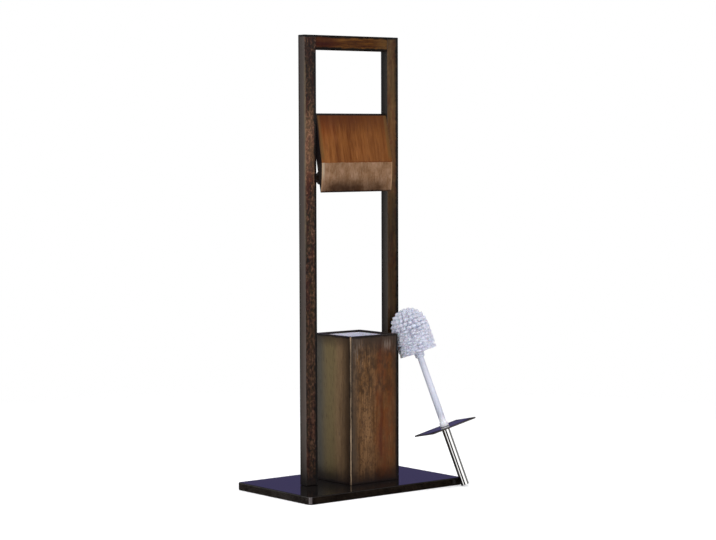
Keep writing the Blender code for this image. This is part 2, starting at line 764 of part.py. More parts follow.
def head(carrier):
    """The core with every bristle tuft grown out of it as one tapering strand."""
    shape = bmesh.new()
    root = CORE_RADIUS - BRISTLE_SUNK
    for height, direction, reach in all_bristles():
        bmesh.ops.create_cone(
            shape,
            cap_ends=True,
            segments=BRISTLE_SIDES,
            radius1=BRISTLE_ROOT_RADIUS,
            radius2=BRISTLE_TIP_RADIUS,
            depth=reach - root,
            matrix=along(shift(z=height) @ (direction * (root + reach) / 2), direction),
        )
    mesh = bpy.data.meshes.new("bristles")
    shape.to_mesh(mesh)
    shape.free()
    strands = place(add_object("bristles", mesh), shift(z=HEAD_START), carrier)
    core = place(head_core(), shift(z=HEAD_START), carrier)
    join = core.modifiers.new("bristles", "BOOLEAN")
    join.operation = "UNION"
    join.object = strands


def brush():
    carrier = empty("brush", brush_pose())
    handle(carrier)
    stud(carrier)
    lid(carrier)
    stem(carrier)
    head(carrier)


for old in list(bpy.data.objects):
    bpy.data.objects.remove(old, do_unlink=True)
PARTS = collection("toilet_butler_stand")
CUTTERS = collection("cutters", helper=True)

LACQUER = material("dark_lacquer", (0.012, 0.010, 0.014), 0.12)
POST_WOOD = material("post_wood", (0.060, 0.030, 0.018), 0.38)
PLAIN_WOOD = material("beech", (0.480, 0.330, 0.190), 0.60)
FLAP_WOOD = material("flap_wood", (0.230, 0.085, 0.030), 0.34)
BOX_WOOD = material("box_wood", (0.110, 0.055, 0.026), 0.36)
PEG_WOOD = material("peg_wood", (0.030, 0.018, 0.014), 0.40)
DARK_PLASTIC = material("dark_plastic", (0.020, 0.018, 0.018), 0.45)
WHITE_PLASTIC = material("white_plastic", (0.780, 0.790, 0.830), 0.35)
STEEL = material("zinc_steel", (0.550, 0.550, 0.560), 0.35, metallic=1.0)
POLISHED_STEEL = material("polished_steel", (0.720, 0.720, 0.720), 0.12, metallic=1.0)

base_plate()
for post_word, post_side in SIDES:
    post(post_word, post_side)
top_rail()
dowels()
screws()
flap()
flap_pins()
roller_pegs()
roller()
box()
brush()
bpy.context.view_layer.update()
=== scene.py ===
import json
import math
import random

import bmesh
import bpy
from mathutils import Matrix, Vector

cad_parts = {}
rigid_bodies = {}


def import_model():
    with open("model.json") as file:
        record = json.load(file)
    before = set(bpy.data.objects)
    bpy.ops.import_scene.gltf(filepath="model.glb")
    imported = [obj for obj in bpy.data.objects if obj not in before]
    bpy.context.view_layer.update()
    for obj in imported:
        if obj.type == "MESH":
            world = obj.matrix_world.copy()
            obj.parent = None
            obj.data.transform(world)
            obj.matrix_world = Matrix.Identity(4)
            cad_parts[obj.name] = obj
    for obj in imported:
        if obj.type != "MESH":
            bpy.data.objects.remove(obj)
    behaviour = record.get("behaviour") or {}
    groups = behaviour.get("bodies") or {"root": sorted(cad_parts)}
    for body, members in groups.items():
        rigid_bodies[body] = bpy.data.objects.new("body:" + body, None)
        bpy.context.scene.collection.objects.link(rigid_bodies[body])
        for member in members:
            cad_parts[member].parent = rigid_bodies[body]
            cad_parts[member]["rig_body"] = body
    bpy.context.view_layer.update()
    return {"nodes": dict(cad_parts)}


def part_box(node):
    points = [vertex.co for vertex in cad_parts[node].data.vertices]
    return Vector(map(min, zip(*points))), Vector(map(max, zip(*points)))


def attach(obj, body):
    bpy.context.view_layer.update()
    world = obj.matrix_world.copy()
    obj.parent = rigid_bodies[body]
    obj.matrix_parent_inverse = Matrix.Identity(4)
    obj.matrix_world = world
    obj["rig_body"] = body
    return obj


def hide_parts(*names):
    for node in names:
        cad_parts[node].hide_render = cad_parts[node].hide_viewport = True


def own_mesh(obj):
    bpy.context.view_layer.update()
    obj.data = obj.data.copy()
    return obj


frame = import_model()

NODES = frame["nodes"]

# Sizes in metres, as in the CAD source or worked out from its sizes
FIT_GAP = 0.0003
POST_DEPTH = 0.019
INNER_HALF = 0.082  # half the way between the posts
PIN_HEIGHT = 0.6735
FLAP_THICKNESS = 0.015
FLAP_CREASE = 0.084  # pins to where the lip starts
FLAP_REACH = 0.135  # pins to lower edge
ROLLER_HEIGHT = 0.5655
ROLLER_DROP = 0.108  # below the flap's pins
ROLLER_RADIUS = 0.0137
ROLLER_WALL = 0.0013
ROLLER_END_WALL = 0.002
ROLLER_END = 0.0684
ROLLER_INNER_SHOWS = 0.050
ROLLER_OVERLAP = 0.045
ROLLER_EDGE = 0.0008
SPINDLE_RADIUS = 0.004
SPINDLE_LENGTH = 0.0075
PEG_RADIUS = 0.0075
PEG_LENGTH = 0.013
PEG_EDGE = 0.0010
PEG_SHANK_RADIUS = 0.004
PEG_SHANK_LENGTH = 0.010
PEG_SOCKET_DEPTH = 0.0085
SCREW_RADIUS = 0.002
SCREW_HEAD_RADIUS = 0.004
SCREW_HEAD_HEIGHT = 0.0024
SCREW_HEAD_RIM = 0.0004
SCREW_POINT = 0.004
BOX_SIDE = 0.069  # X of the box's right side
BOX_TOP = 0.2813
BOX_CORNER = (-0.041, -0.053)  # the edge between the front and left walls, with a painted highlight along it
HANDLE_RADIUS = 0.0075
HANDLE_WALL = 0.001
HANDLE_LENGTH = 0.110
HANDLE_EDGE = 0.0004
CAP_RECESS = 0.0004
CAP_LENGTH = 0.006
LID_THICKNESS = 0.0026
STEM_START = HANDLE_LENGTH + LID_THICKNESS + 2 * FIT_GAP
STEM_LENGTH = 0.143
STEM_BORE = 0.0033
STUD_IN_STEM = 0.0123
COLLAR_RADIUS = 0.0079
STEM_RADIUS_AT_COLLAR = 0.0062
STEM_RADIUS_AT_HEAD = 0.0057
FLANGE_RADIUS = 0.0092
FLANGE_LENGTH = 0.008
FLANGE_TAPER = 0.0015
SPIGOT_RADIUS = 0.0055
SPIGOT_LENGTH = 0.020
HEAD_START = STEM_START + STEM_LENGTH + FIT_GAP
HEAD_LENGTH = 0.086
HEAD_RADIUS = 0.0358
DOME_HEIGHT = 0.036
DOME_START = HEAD_LENGTH - DOME_HEIGHT
CORE_RADIUS = 0.0125
BRISTLE_TIP_RADIUS = 0.0026
BRUSH_FOOT = (0.171, -0.123)
BRUSH_TURN = math.radians(33)

# Finer here than in the CAD source: roundings, and the screws' cross recess
CAP_ROUNDING = 0.0009
STEM_ROUNDING = 0.0008
CORE_EDGE = 0.0006
CORE_RINGS = 12
RECESS_ARM = 0.0023
RECESS_HALF_WIDTH = 0.0005
RECESS_DEPTH = 0.0013
SCREW_SIDES = 42  # no corner falls on the recess's own corners

# Bristles: rows of tufts round the core, then rings of them over the dome
TUFTS_PER_ROW = 17
TUFTS_ROUND_DOME = 23
TUFT_ROWS = 7
DOME_RINGS = 6
FIRST_ROW = 0.0036
CLUMP_SIDES = 18
CLUMP_RINGS = (0.30, 0.60, 0.86, 0.93)  # as shares of a tuft's reach
END_ROUGHNESS = 0.0012
FILAMENTS_PER_TUFT = 48
FILAMENT_RADIUS = (0.00042, 0.00060)
MASS_START = 0.0035
MASS_SHARE = 0.87
DOME_MASS_SHARE = 0.76
MASS_SIDES = 96
MASS_RINGS = 24
OUTLINE_MARGIN = 0.0003  # how far inside the head's outline they all stay
# Fill is a clump's width as a share of its place, grows that at each ring, loose how far it
# leans, spread how far its filaments stand out and droop how much shorter they are then
ROW_TUFT = dict(fill=1.02, grows=(0.42, 0.70, 0.96, 0.55), loose=0.0026, spread=1.25, droop=0.045)
DOME_TUFT = dict(fill=0.88, grows=(0.32, 0.66, 0.98, 0.52), loose=0.0010, spread=1.06, droop=0.12)

# Looks
IOR = 1.5
FACE_LIGHT = 1.20  # light on an upright face in this studio, as measured
SHEEN_LIFT = 0.006  # what the varnish's sheen adds to it
LEAST_STAIN = 0.0012
RELIEF = 0.0004  # depth of the grain
FLAP_TILT = math.asin((FLAP_THICKNESS / 2 + FIT_GAP + ROLLER_RADIUS) / ROLLER_DROP)
ALONG_X, ALONG_Y, ALONG_Z = range(3)


def srgb(red, green, blue):
    """A linear colour from the 0 to 255 values that a picture shows."""
    def linear(value):
        share = value / 255
        return share / 12.92 if share <= 0.04045 else ((share + 0.055) / 1.055) ** 2.4

    return (linear(red), linear(green), linear(blue), 1.0)


def seen(red, green, blue, light=FACE_LIGHT):
    """The stain that shows as these 0 to 255 values on a face with this light."""
    linear = srgb(red, green, blue)[:3]
    return (*(max((value - SHEEN_LIFT) / light, LEAST_STAIN) for value in linear), 1.0)


class Look:
    """A node material, put together from small steps. A step takes sockets or plain values."""

    def __init__(self, name, roughness, metallic=0.0, **shader):
        self.material = bpy.data.materials.new(name)
        self.material.use_nodes = True
        self.tree = self.material.node_tree
        self.shader = self.tree.nodes["Principled BSDF"]
        settings = {"Roughness": roughness, "Metallic": metallic, "IOR": IOR, **shader}
        for socket, value in settings.items():
            self.shader.inputs[socket.replace("_", " ")].default_value = value
        coordinates = self.tree.nodes.new("ShaderNodeTexCoord")
        self.place = coordinates.outputs["Object"]
        self.facing = coordinates.outputs["Normal"]

    def feed(self, socket, value):
        if isinstance(value, bpy.types.NodeSocket):
            self.tree.links.new(value, socket)
        else:
            socket.default_value = value

    def node(self, kind, inputs, output=0, **settings):
        made = self.tree.nodes.new(kind)
        for name, value in settings.items():
            setattr(made, name, value)
        for socket, value in inputs.items():
            self.feed(made.inputs[socket], value)
        return made.outputs[output]

    def math(self, operation, made, *others):
        """A calculation with one value, or with more, taken in turn."""
        for value in others or (0.0,):
            made = self.node("ShaderNodeMath", {0: made, 1: value}, operation=operation)
        return made

    def total(self, *values):
        return self.math("ADD", *values)

    def product(self, *values):
        return self.math("MULTIPLY", *values)

    def less(self, first, second):
        return self.math("SUBTRACT", first, second)

    def axes(self, vector):
        return tuple(self.node("ShaderNodeSeparateXYZ", {0: vector}).node.outputs)

    def vector(self, operation, first, second=(0, 0, 0), output=0):
        inputs = {0: first, 1: second}
        return self.node("ShaderNodeVectorMath", inputs, output, operation=operation)

    def distance(self, start, end):
        return self.vector("LENGTH", self.vector("SUBTRACT", start, end), output=1)

    def from_upright(self, x, y):
        """How far a point is from an upright line."""
        return self.distance(self.vector("MULTIPLY", self.place, (1, 1, 0)), (x, y, 0))

    def mapped(self, vector, turn, move):
        inputs = {"Vector": vector, "Rotation": tuple(turn), "Location": tuple(move)}
        return self.node("ShaderNodeMapping", inputs)

    def noise(self, vector, scale, detail=3.0, roughness=0.5, distortion=0.0):
        inputs = {"Vector": vector, "Scale": scale, "Detail": detail, "Roughness": roughness}
        return self.node("ShaderNodeTexNoise", {**inputs, "Distortion": distortion})

    def step(self, value, start, end, low=0.0, high=1.0):
        """Low up to start, high from end, and smooth between. Start may be the larger one."""
        if start > end:
            start, end, low, high = end, start, high, low
        inputs = {"Value": value, "From Min": start, "From Max": end, "To Min": low, "To Max": high}
        return self.node("ShaderNodeMapRange", inputs, interpolation_type="SMOOTHSTEP")

    def patches(self, vector, noise, start, end, low=0.0, high=1.0):
        """Patches of a noise, given as its scale, detail, roughness and distortion."""
        return self.step(self.noise(vector, *noise), start, end, low, high)

    def waver(self, vector, noise, size):
        """A noise about zero, size wide."""
        return self.product(self.less(self.noise(vector, *noise), 0.5), size)

    def band(self, value, centre, half, soft):
        """One within half of centre, and nothing beyond the soft edge."""
        away = self.math("ABSOLUTE", self.less(value, centre))
        return self.step(away, half + soft, half)

    def mix(self, share, first, second):
        return self.node("ShaderNodeMix", {0: share, 6: first, 7: second}, 2, data_type="RGBA")

    def ramp(self, value, stops):
        made = self.tree.nodes.new("ShaderNodeValToRGB")
        self.feed(made.inputs[0], value)
        elements = made.color_ramp.elements
        for _ in stops[2:]:
            elements.new(0.5)
        for element, stop in zip(elements, stops):
            element.position, element.color = stop
        return made.outputs[0]

    def shades(self, value, dark, light, start=0.3, end=0.7):
        """Two colours, given by what a picture shows, along a value."""
        return self.ramp(value, [(start, srgb(*dark)), (end, srgb(*light))])

    def edge_distance(self, low, high):
        """How far a point on a box-shaped piece is from the nearest edge: the middle one of
        its distances to the nearest side on each axis."""
        away = []
        for value, start, end in zip(self.axes(self.place), low, high):
            away.append(self.math("MINIMUM", self.less(value, start), self.less(end, value)))
        smaller = self.math("MINIMUM", away[0], away[1])
        larger = self.math("MAXIMUM", away[0], away[1])
        return self.math("MAXIMUM", smaller, self.math("MINIMUM", larger, away[2]))

    def side(self, axis):
        """One on the faces that look along an axis, and nothing on the others."""
        return self.step(self.math("ABSOLUTE", self.axes(self.facing)[axis]), 0.45, 0.75)

    def done(self, colour, roughness, height, strength, distance):
        self.feed(self.shader.inputs["Base Color"], colour)
        self.feed(self.shader.inputs["Roughness"], roughness)
        inputs = {"Height": height, "Strength": strength, "Distance": distance}
        self.feed(self.shader.inputs["Normal"], self.node("ShaderNodeBump", inputs))
        return self.material


class Wood(Look):
    """Varnished wood with its grain along one axis. Its colour is built up stain by stain, and in
    places with painted light and shade laid on the same way.
    """

    def __init__(self, name, grain, place=None, turn=0.0, seed=0.0, gloss=0.22):
        super().__init__(name, 0.4, Specular_IOR_Level=gloss)
        if place:
            move = Matrix.Rotation(turn, 4, "X") @ -Vector(place)
            self.place = self.mapped(self.place, (turn, 0, 0), move)
        self.grain = grain
        self.shifted = self.vector("ADD", self.place, (seed, 2 * seed, 3 * seed))
        self.fibres = self.stretched(0.06)
        self.softly = self.stretched(0.22)
        self.clouds = self.stretched(0.50)
        self.colour = None

    def stretched(self, share):
        """The place, drawn out along the grain."""
        scale = tuple(share if axis == self.grain else 1.0 for axis in range(3))
        return self.vector("MULTIPLY", self.shifted, scale)

    def figure(self, broad=1.0, streaks=1.0, fine=1.0):
        """Light and dark of the growth rings, about 0.5 on average."""
        return self.total(
            0.5,
            self.waver(self.softly, (26, 2, 0.5, 0.6), broad),
            self.waver(self.fibres, (170, 3, 0.6, 0.4), streaks),
            self.waver(self.fibres, (620, 2, 0.6), fine),
        )

    def mottle(self, scale, start, end):
        """Blotches where the stain has taken, one inside a blotch."""
        return self.patches(self.clouds, (scale, 4, 0.75, 0.3), start, end)

    def pores(self):
        """Short dark vessel lines, one inside a pore."""
        return self.patches(self.fibres, (1150, 1, 0.4), 0.60, 0.70)

    def stained(self, value, stops):
        """Starts a new colour from a few stains along a value."""
        self.colour = self.ramp(value, [(at, seen(*stain)) for at, stain in stops])

    def tint(self, stain, amount, *shares):
        """Lays a stain over the colour; some calls lay painted light and shade this way instead. A
        share is a value, or a tuple of what a step takes.
        """
        made = [self.step(*share) if isinstance(share, tuple) else share for share in shares]
        self.colour = self.mix(self.product(*made, amount), self.colour, seen(*stain))

    def burn(self, distance, width, stain, amount, scale, solid):
        """Darkens towards the edges, unevenly, as where a stain was burnt in. Solid is the
        share of the width that is darkened fully."""
        uneven = self.total(distance, self.waver(self.shifted, (scale, 3, 0.6), width))
        self.tint(stain, amount, (uneven, width, solid * width))

    def shade(self, value, stops):
        """Multiplies the colour by a few greys along a value, given as (place, share)."""
        first, last = stops[0][0], stops[-1][0]
        peak = max(grey for _, grey in stops)
        inputs = {"Value": value, "From Min": first, "From Max": last}
        share = self.node("ShaderNodeMapRange", inputs)
        greys = [((at - first) / (last - first), (grey / peak,) * 3 + (1,)) for at, grey in stops]
        raised = self.vector("MULTIPLY", self.ramp(share, greys), (peak, peak, peak))
        self.colour = self.vector("MULTIPLY", self.colour, raised)

    def foot(self, scale, rise, start, end, stain, amount):
        """Painted contact shade: darkens the lower end, up to an uneven line."""
        uneven = self.product(self.noise(self.shifted, scale, 3, 0.6), rise)
        height = self.total(self.axes(self.place)[2], uneven)
        self.tint(stain, amount, (height, start, end))

    def varnished(self, low, high, strength, depth=RELIEF):
        """The finished material, its roughness between low and high, its grain in relief."""
        roughness = self.patches(self.softly, (60, 3, 0.6), 0.3, 0.7, low, high)
        relief = self.less(self.noise(self.fibres, 420, 3, 0.6), self.pores())
        return self.done(self.colour, roughness, relief, strength, depth)


def box_of(name):
    low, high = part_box(name)
    return tuple(low), tuple(high)


# ---- materials


def lacquer(name, gloss_near=None, edges_of=None):
    """Dark lacquer, glossy near a point, or all over but for a node's edges. Its sides that face
    along X are painted lighter, and its rounded upright corners carry a painted highlight.
    """
    look = Look(name, 0.10)
    colour = look.shades(look.noise(look.place, 18, 3, 0.6), (10, 8, 8), (19, 15, 13))
    edge = look.noise(look.place, 55, 4, 0.7)
    sides = look.math("MAXIMUM", look.side(ALONG_X), look.side(ALONG_Y))
    brown = look.shades(edge, (9, 6, 4), (26, 20, 15), 0.35, 0.65)
    # painted light: the sides that face along X are lighter
    light = look.shades(edge, (23, 19, 16), (41, 37, 34), 0.35, 0.65)
    brown = look.mix(look.side(ALONG_X), brown, light)
    # painted highlight on the rounded upright corners
    corner = look.math("ABSOLUTE", look.product(*look.axes(look.facing)[:2]))
    brown = look.mix(look.step(corner, 0.08, 0.36, 0.0, 0.88), brown, srgb(84, 78, 78))
    colour = look.mix(sides, colour, brown)
    if gloss_near:
        bright = look.step(look.distance(look.place, gloss_near), 0.024, 0.062, 1.0, 0.0)
    else:
        inside = look.step(look.edge_distance(*box_of(edges_of)), 0.0006, 0.0034)
        bright = look.math("MAXIMUM", inside, sides)
    gloss = look.product(bright, bright, bright, bright, 0.5)
    look.feed(look.shader.inputs["Specular IOR Level"], gloss)
    dust = look.patches(look.place, (260, 3, 0.7), 0.35, 0.8, 0.06, 0.13)
    return look.done(colour, dust, look.noise(look.place, 34, 2, 0.5), 0.04, 0.0006)


def post_wood(word, seed, cloudy, front, lengthwise, side, across, beside_flap, plain, width):
    """A post: a mottled front with a burnt top and right edge, and smooth grey sides, their grey
    painted sheen, that darken to the rear with painted shade. Cloudy is the spots' share of the
    front's figure, the side shade pair how light painted shade leaves the sides up to the flap and
    above it, and width how far the right edge is burnt."""
    low, high = box_of(f"{word}_post")
    look = Wood(f"{word}_post_stain", ALONG_Z, seed=seed)
    x, y, z = look.axes(look.place)
    sideways = look.side(ALONG_X)
    spots = look.noise(look.stretched(0.70), 210, 4, 0.72, 0.4)
    blotches = look.noise(look.clouds, 64, 3, 0.6, 0.5)
    figure = look.product(look.figure(0.6, 0.9, 0.5), 1 - cloudy)
    look.stained(look.total(look.product(spots, cloudy), figure), front)
    look.tint((70, 56, 30), 0.30, (blotches, 0.48, 0.60))
    look.tint((70, 32, 20), 0.42, (blotches, 0.50, 0.38))
    look.tint((30, 20, 16), 0.5, look.pores())
    look.shade(z, lengthwise)
    look.tint(beside_flap, 0.32, look.band(z, 0.620, 0.030, 0.040))
    brown = look.colour
    # The sides' smooth grey is painted sheen; their darkening to the rear, at the foot, and up to
    # and above the flap is painted shade.
    look.stained(look.figure(0.5, 0.6, 0.3), side)
    look.shade(y, across)
    below, above = plain
    foot = [(0.014, 0.35), (0.06, 0.70)]
    look.shade(z, foot + [(0.14, below), (0.62, below), (0.69, above), (0.82, above)])
    look.colour = unburnt = look.mix(sideways, brown, look.colour)
    beside = look.less(high[0], x)
    if word == "left":  # the rail joins this edge at its top
        beside = look.total(beside, look.step(z, 0.789, 0.795, 0.0, 0.03))
    look.burn(beside, width, (14, 7, 5), 0.96, 120, 0.42)
    look.colour = look.mix(sideways, look.colour, unburnt)
    look.burn(look.less(high[2], z), 0.0050, (10, 7, 6), 0.96, 90, 0.5)
    if word == "left":  # a painted highlight along its outer front edge
        patchy_highlight = look.patches(look.clouds, (110, 3, 0.7), 0.40, 0.60, 0.35, 1.0)
        edge = (look.from_upright(*low[:2]), 0.0036, 0.0014)
        look.tint((112, 98, 76), 0.62, patchy_highlight, edge, (z, 0.40, 0.50), (z, 0.80, 0.74))
    # painted contact shade at the foot
    look.foot(90, 0.012, 0.050, 0.020, (24, 16, 13), 0.8)
    return look.varnished(0.30, 0.46, 0.16)


def rail_wood():
    """The top rail: reddish at its left end, greyer at its right, its long edges burnt."""
    low, high = box_of("top_rail")
    look = Wood("rail_stain", ALONG_X, seed=4.1, gloss=0.12)
    x = look.axes(look.place)[0]
    tones = [(0.25, (48, 24, 8)), (0.5, (88, 54, 24)), (0.75, (112, 74, 36))]
    look.stained(look.figure(1.0, 1.3, 0.6), tones)
    look.tint((56, 22, 7), 0.74, (x, -0.018, -0.052))
    look.tint((90, 66, 40), 0.65, (x, 0.040, 0.080))
    look.tint((52, 28, 14), 0.45, look.mottle(120, 0.52, 0.66))
    look.tint((34, 20, 12), 0.5, look.pores())
    endless = (low[0] - 1, *low[1:]), (high[0] + 1, *high[1:])
    look.burn(look.edge_distance(*endless), 0.0062, (14, 8, 6), 0.95, 90, 0.46)
    return look.varnished(0.30, 0.44, 0.15)


def box_wall(word, seed, stops, features=None, rough=1.0):
    """One wall of the box: upright grain, burnt edges, painted contact shade at its foot and a
    painted highlight along its front-left corner.
    """
    node = f"box_{word}_wall"
    low, high = box_of(node)
    look = Wood(f"{word}_wall_stain", ALONG_Z, seed=seed)
    z = look.axes(look.place)[2]
    dark, light = stops[0][1], stops[-1][1]
    look.stained(look.figure(0.9 * rough, 1.2 * rough, 0.8 * rough), stops)
    look.tint(dark, 0.34 * rough, look.mottle(88, 0.50, 0.60))
    look.tint(dark, 0.30 * rough, look.mottle(190, 0.53, 0.64))
    look.tint(light, 0.40 * rough, look.mottle(150, 0.55, 0.66))
    crackle = look.patches(look.stretched(0.80), (240, 3, 0.7), 0.52, 0.61)
    look.tint(dark, 0.58 * rough**2, crackle)
    if features:
        features(look)
    look.tint((38, 24, 15), 0.5, look.pores())
    distance = look.edge_distance(low, high)
    look.burn(distance, 0.020, (52, 40, 30), 0.34, 34, 0.1)
    look.burn(look.less(high[2], z), 0.030, (56, 45, 38), 0.55, 40, 0.0)
    look.burn(distance, 0.0050, (22, 17, 13), 0.80, 110, 0.35)
    # painted contact shade at the foot
    look.foot(60, 0.022, 0.066, 0.024, (30, 20, 13), 0.85)
    # painted highlight along the front-left corner, patchy, and stronger near the bottom and the
    # top
    patchy_highlight = look.patches(look.shifted, (24, 4, 0.7), 0.44, 0.58)
    strong = look.math("MAXIMUM", look.step(z, 0.15, 0.09), look.step(z, 0.235, 0.275))
    line = look.total(0.12, look.product(patchy_highlight, 0.40), look.product(strong, 0.38))
    look.tint((176, 150, 122), 1.0, (look.from_upright(*BOX_CORNER), 0.0024, 0.0010), line)
    dress(node, look.varnished(0.34, 0.52, 0.18))


def front_features(look):
    """The front wall: greyish tan on its left, partly painted sheen, rust brown on its right, a
    dark streak between, and streaks of painted sheen under its top edge."""
    x, _, z = look.axes(look.place)
    across = look.total(x, look.waver(look.clouds, (40, 3, 0.6), 0.014))
    look.tint((92, 57, 29), 0.55, (across, -0.006, 0.030))
    patchy = look.patches(look.clouds, (62, 4, 0.65), 0.40, 0.60, 0.25, 1.0)
    look.tint((102, 52, 21), 0.62, (across, 0.012, 0.024), (x, 0.062, 0.052, 0.2, 1.0), patchy)
    faded = look.patches(look.clouds, (30, 2, 0.5), 0.32, 0.54)
    look.tint((78, 36, 13), 0.62, look.band(across, 0.0285, 0.0014, 0.0048), faded)
    # partly painted sheen: greyish tan towards the left edge
    look.tint((84, 70, 56), 0.72, (across, -0.018, -0.036))
    look.tint((34, 22, 15), 0.75, (x, 0.060, 0.067))
    look.tint((60, 51, 45), 0.66, (z, 0.228, 0.282))
    # painted sheen: pale streaks under the top edge, at the left and the right
    left = look.product(look.step(across, -0.006, -0.024), look.step(z, 0.200, 0.262))
    right = look.product(look.band(across, 0.048, 0.008, 0.012), look.step(z, 0.244, 0.268))
    painted_sheen_streaks = look.patches(look.fibres, (560, 2, 0.6), 0.46, 0.60)
    look.tint((140, 128, 118), 0.50, painted_sheen_streaks, look.math("MAXIMUM", left, right))
    scorch = look.patches(look.clouds, (95, 4, 0.65), 0.46, 0.58)
    look.tint((48, 36, 26), 0.48, scorch, look.band(z, 0.225, 0.040, 0.030))


def left_features(look):
    """The left wall, from its rear: slate and olive, both painted sheen, then tan, and dark at the
    front corner.
    """
    y = look.axes(look.place)[1]
    across = look.total(y, look.waver(look.clouds, (18, 2, 0.5), 0.012))
    # painted sheen: olive, and slate further to the rear
    look.tint((104, 92, 60, 0.80), 0.70, (across, -0.024, 0.006))
    look.tint((60, 60, 58, 0.75), 0.85, (across, 0.010, 0.040))
    look.tint((38, 27, 18), 0.80, (across, -0.016, -0.050))


def flap_wood():
    """The flap, in its own plane: orange brown above the crease, paler on the lip, partly painted
    sheen, with a painted highlight on the lip's ends and painted shade where it turns under.
    """
    look = Wood("flap_stain", ALONG_Z, (0, 0, PIN_HEIGHT), FLAP_TILT, seed=7.3, gloss=0.13)
    x, depth, up = look.axes(look.place)
    ends = look.less(INNER_HALF, look.math("ABSOLUTE", x))
    tones = [(0.25, (94, 50, 18)), (0.5, (120, 72, 34)), (0.75, (140, 88, 46))]
    look.stained(look.figure(0.55, 0.8, 0.5), tones)
    look.tint((92, 48, 18), 0.42, look.patches(look.softly, (115, 3, 0.55, 0.5), 0.52, 0.66))
    look.tint((142, 88, 48), 0.40, look.patches(look.softly, (78, 2, 0.5, 0.4), 0.54, 0.68))
    look.tint((122, 58, 24), 0.45, (x, -0.020, -0.070), (up, -0.060, -0.015))
    look.tint((84, 46, 20), 0.35, look.pores())
    look.tint((70, 34, 14), 0.70, (up, -0.040, 0.002))
    look.tint((104, 62, 32), 0.28, (x, 0.010, 0.045))
    look.tint((96, 76, 44), 0.5, (ends, 0.0105, 0.0060), (up, -FLAP_CREASE, -0.070))
    burnt_end = (ends, 0.0046, 0.0022), (up, -FLAP_CREASE, -0.020), (x, 0.02, -0.02, 0.25, 1.0)
    look.tint((30, 20, 15), 0.9, *burnt_end)
    board = look.colour

    lower = look.total(up, look.waver(look.shifted, (90, 3, 0.6), 0.003))
    cloud = look.noise(look.vector("MULTIPLY", look.shifted, (0.75, 1, 0.8)), 66, 4, 0.65)
    # the lip's pale tones, partly its own and partly painted sheen
    look.stained(cloud, [(0.3, (108, 78, 52)), (0.5, (134, 102, 76)), (0.72, (156, 124, 100))])
    look.tint((102, 75, 53), 0.40, look.patches(look.fibres, (240, 3, 0.65), 0.48, 0.62))
    look.tint((158, 130, 105), 0.34, look.patches(look.fibres, (330, 3, 0.65), 0.52, 0.64))
    # painted highlight on the lip's left end
    pale = (ends, 0.0095, 0.0035), (x, 0.0, -0.05), (up, -0.122, -0.100)
    look.tint((182, 166, 144), 0.75, *pale)
    lip = look.step(lower, 0.0008 - FLAP_CREASE, -0.0002 - FLAP_CREASE)
    look.colour = look.mix(look.product(lip, 0.94), board, look.colour)

    # painted shade: the lip darkens towards its lower edge, where it turns under
    painted_underside_shade = (lower, -0.104, -0.130), (cloud, 0.75, 0.35, 0.8, 1.0)
    middle = (ends, 0.006, 0.030, 0.5, 1.0), (x, 0.030, -0.010, 0.74, 1.0)
    look.tint((50, 31, 17), 0.95, *painted_underside_shade, *middle)
    # painted highlight along the lip's ends
    look.tint((176, 140, 106), 0.5, (ends, 0.0046, 0.0014), lip)
    line = look.band(lower, 0.0014 - FLAP_CREASE, 0.0003, 0.0010)
    look.tint((84, 38, 20), 0.55, line, (x, -0.03, 0.02, 0.3, 1.0))
    look.tint((26, 17, 12), 0.85, (lower, 0.0040 - FLAP_REACH, 0.0005 - FLAP_REACH))
    look.tint((58, 36, 20), 0.6, (depth, 0.0066, 0.0074))
    look.tint((27, 28, 31), 0.96, look.side(ALONG_X))
    look.tint((22, 13, 11), 0.96, (up, 0.0012, 0.0036))
    return look.varnished(0.32, 0.48, 0.16)


def plain_wood(name, dark, light, grain, low, high):
    look = Wood(name, grain, seed=1.7)
    look.colour = look.shades(look.figure(1.0, 1.0, 0.6), dark, light, 0.25, 0.75)
    return look.varnished(low, high, 0.15, 0.0003)


def dark_plastic(name):
    look = Look(name, 0.45)
    grain = look.noise(look.place, 900, 2, 0.6)
    colour = look.shades(look.noise(look.place, 70, 3, 0.6), (30, 29, 30), (42, 40, 41))
    return look.done(colour, look.step(grain, 0.3, 0.7, 0.38, 0.52), grain, 0.12, 0.0001)


def white_plastic(name, light, shade, low, high, painted_light_near=None):
    """White moulded plastic, with painted light that makes it paler near a point."""
    look = Look(name, 0.33, Subsurface_Weight=0.08, Subsurface_Scale=0.002)
    cloud = look.noise(look.place, 16, 2, 0.5)
    colour = look.shades(cloud, shade, light)
    # painted light: paler near the point
    if painted_light_near:
        near = look.step(look.distance(look.place, painted_light_near), 0.024, 0.010)
        colour = look.mix(near, colour, srgb(238, 239, 247))
    roughness = look.step(cloud, 0.3, 0.7, low, high)
    return look.done(colour, roughness, look.noise(look.place, 500, 2, 0.5), 0.04, 0.0001)


def bristle_plastic(name, start, axis):
    """White filaments, with painted shade that dims them near the core."""
    look = Look(name, 0.45, Subsurface_Weight=0.10, Subsurface_Scale=0.002)
    away = look.vector("SUBTRACT", look.place, tuple(start))
    up = look.vector("DOT_PRODUCT", away, tuple(axis), output=1)
    up = look.math("MINIMUM", look.math("MAXIMUM", up, 0.0), DOME_START)
    centre = look.node("ShaderNodeVectorMath", {0: tuple(axis), 3: up}, operation="SCALE")
    # painted shade: the filaments darken towards the core
    depth = look.step(look.distance(away, centre), CORE_RADIUS, HEAD_RADIUS - 0.003)
    tuft = look.noise(look.place, 150, 2, 0.6)
    tips = look.shades(tuft, (206, 207, 222), (220, 222, 233))
    colour = look.mix(depth, srgb(196, 197, 216), tips)
    roughness = look.step(tuft, 0.3, 0.7, 0.38, 0.52)
    return look.done(colour, roughness, look.noise(look.place, 700, 1), 0.1, 0.0002)


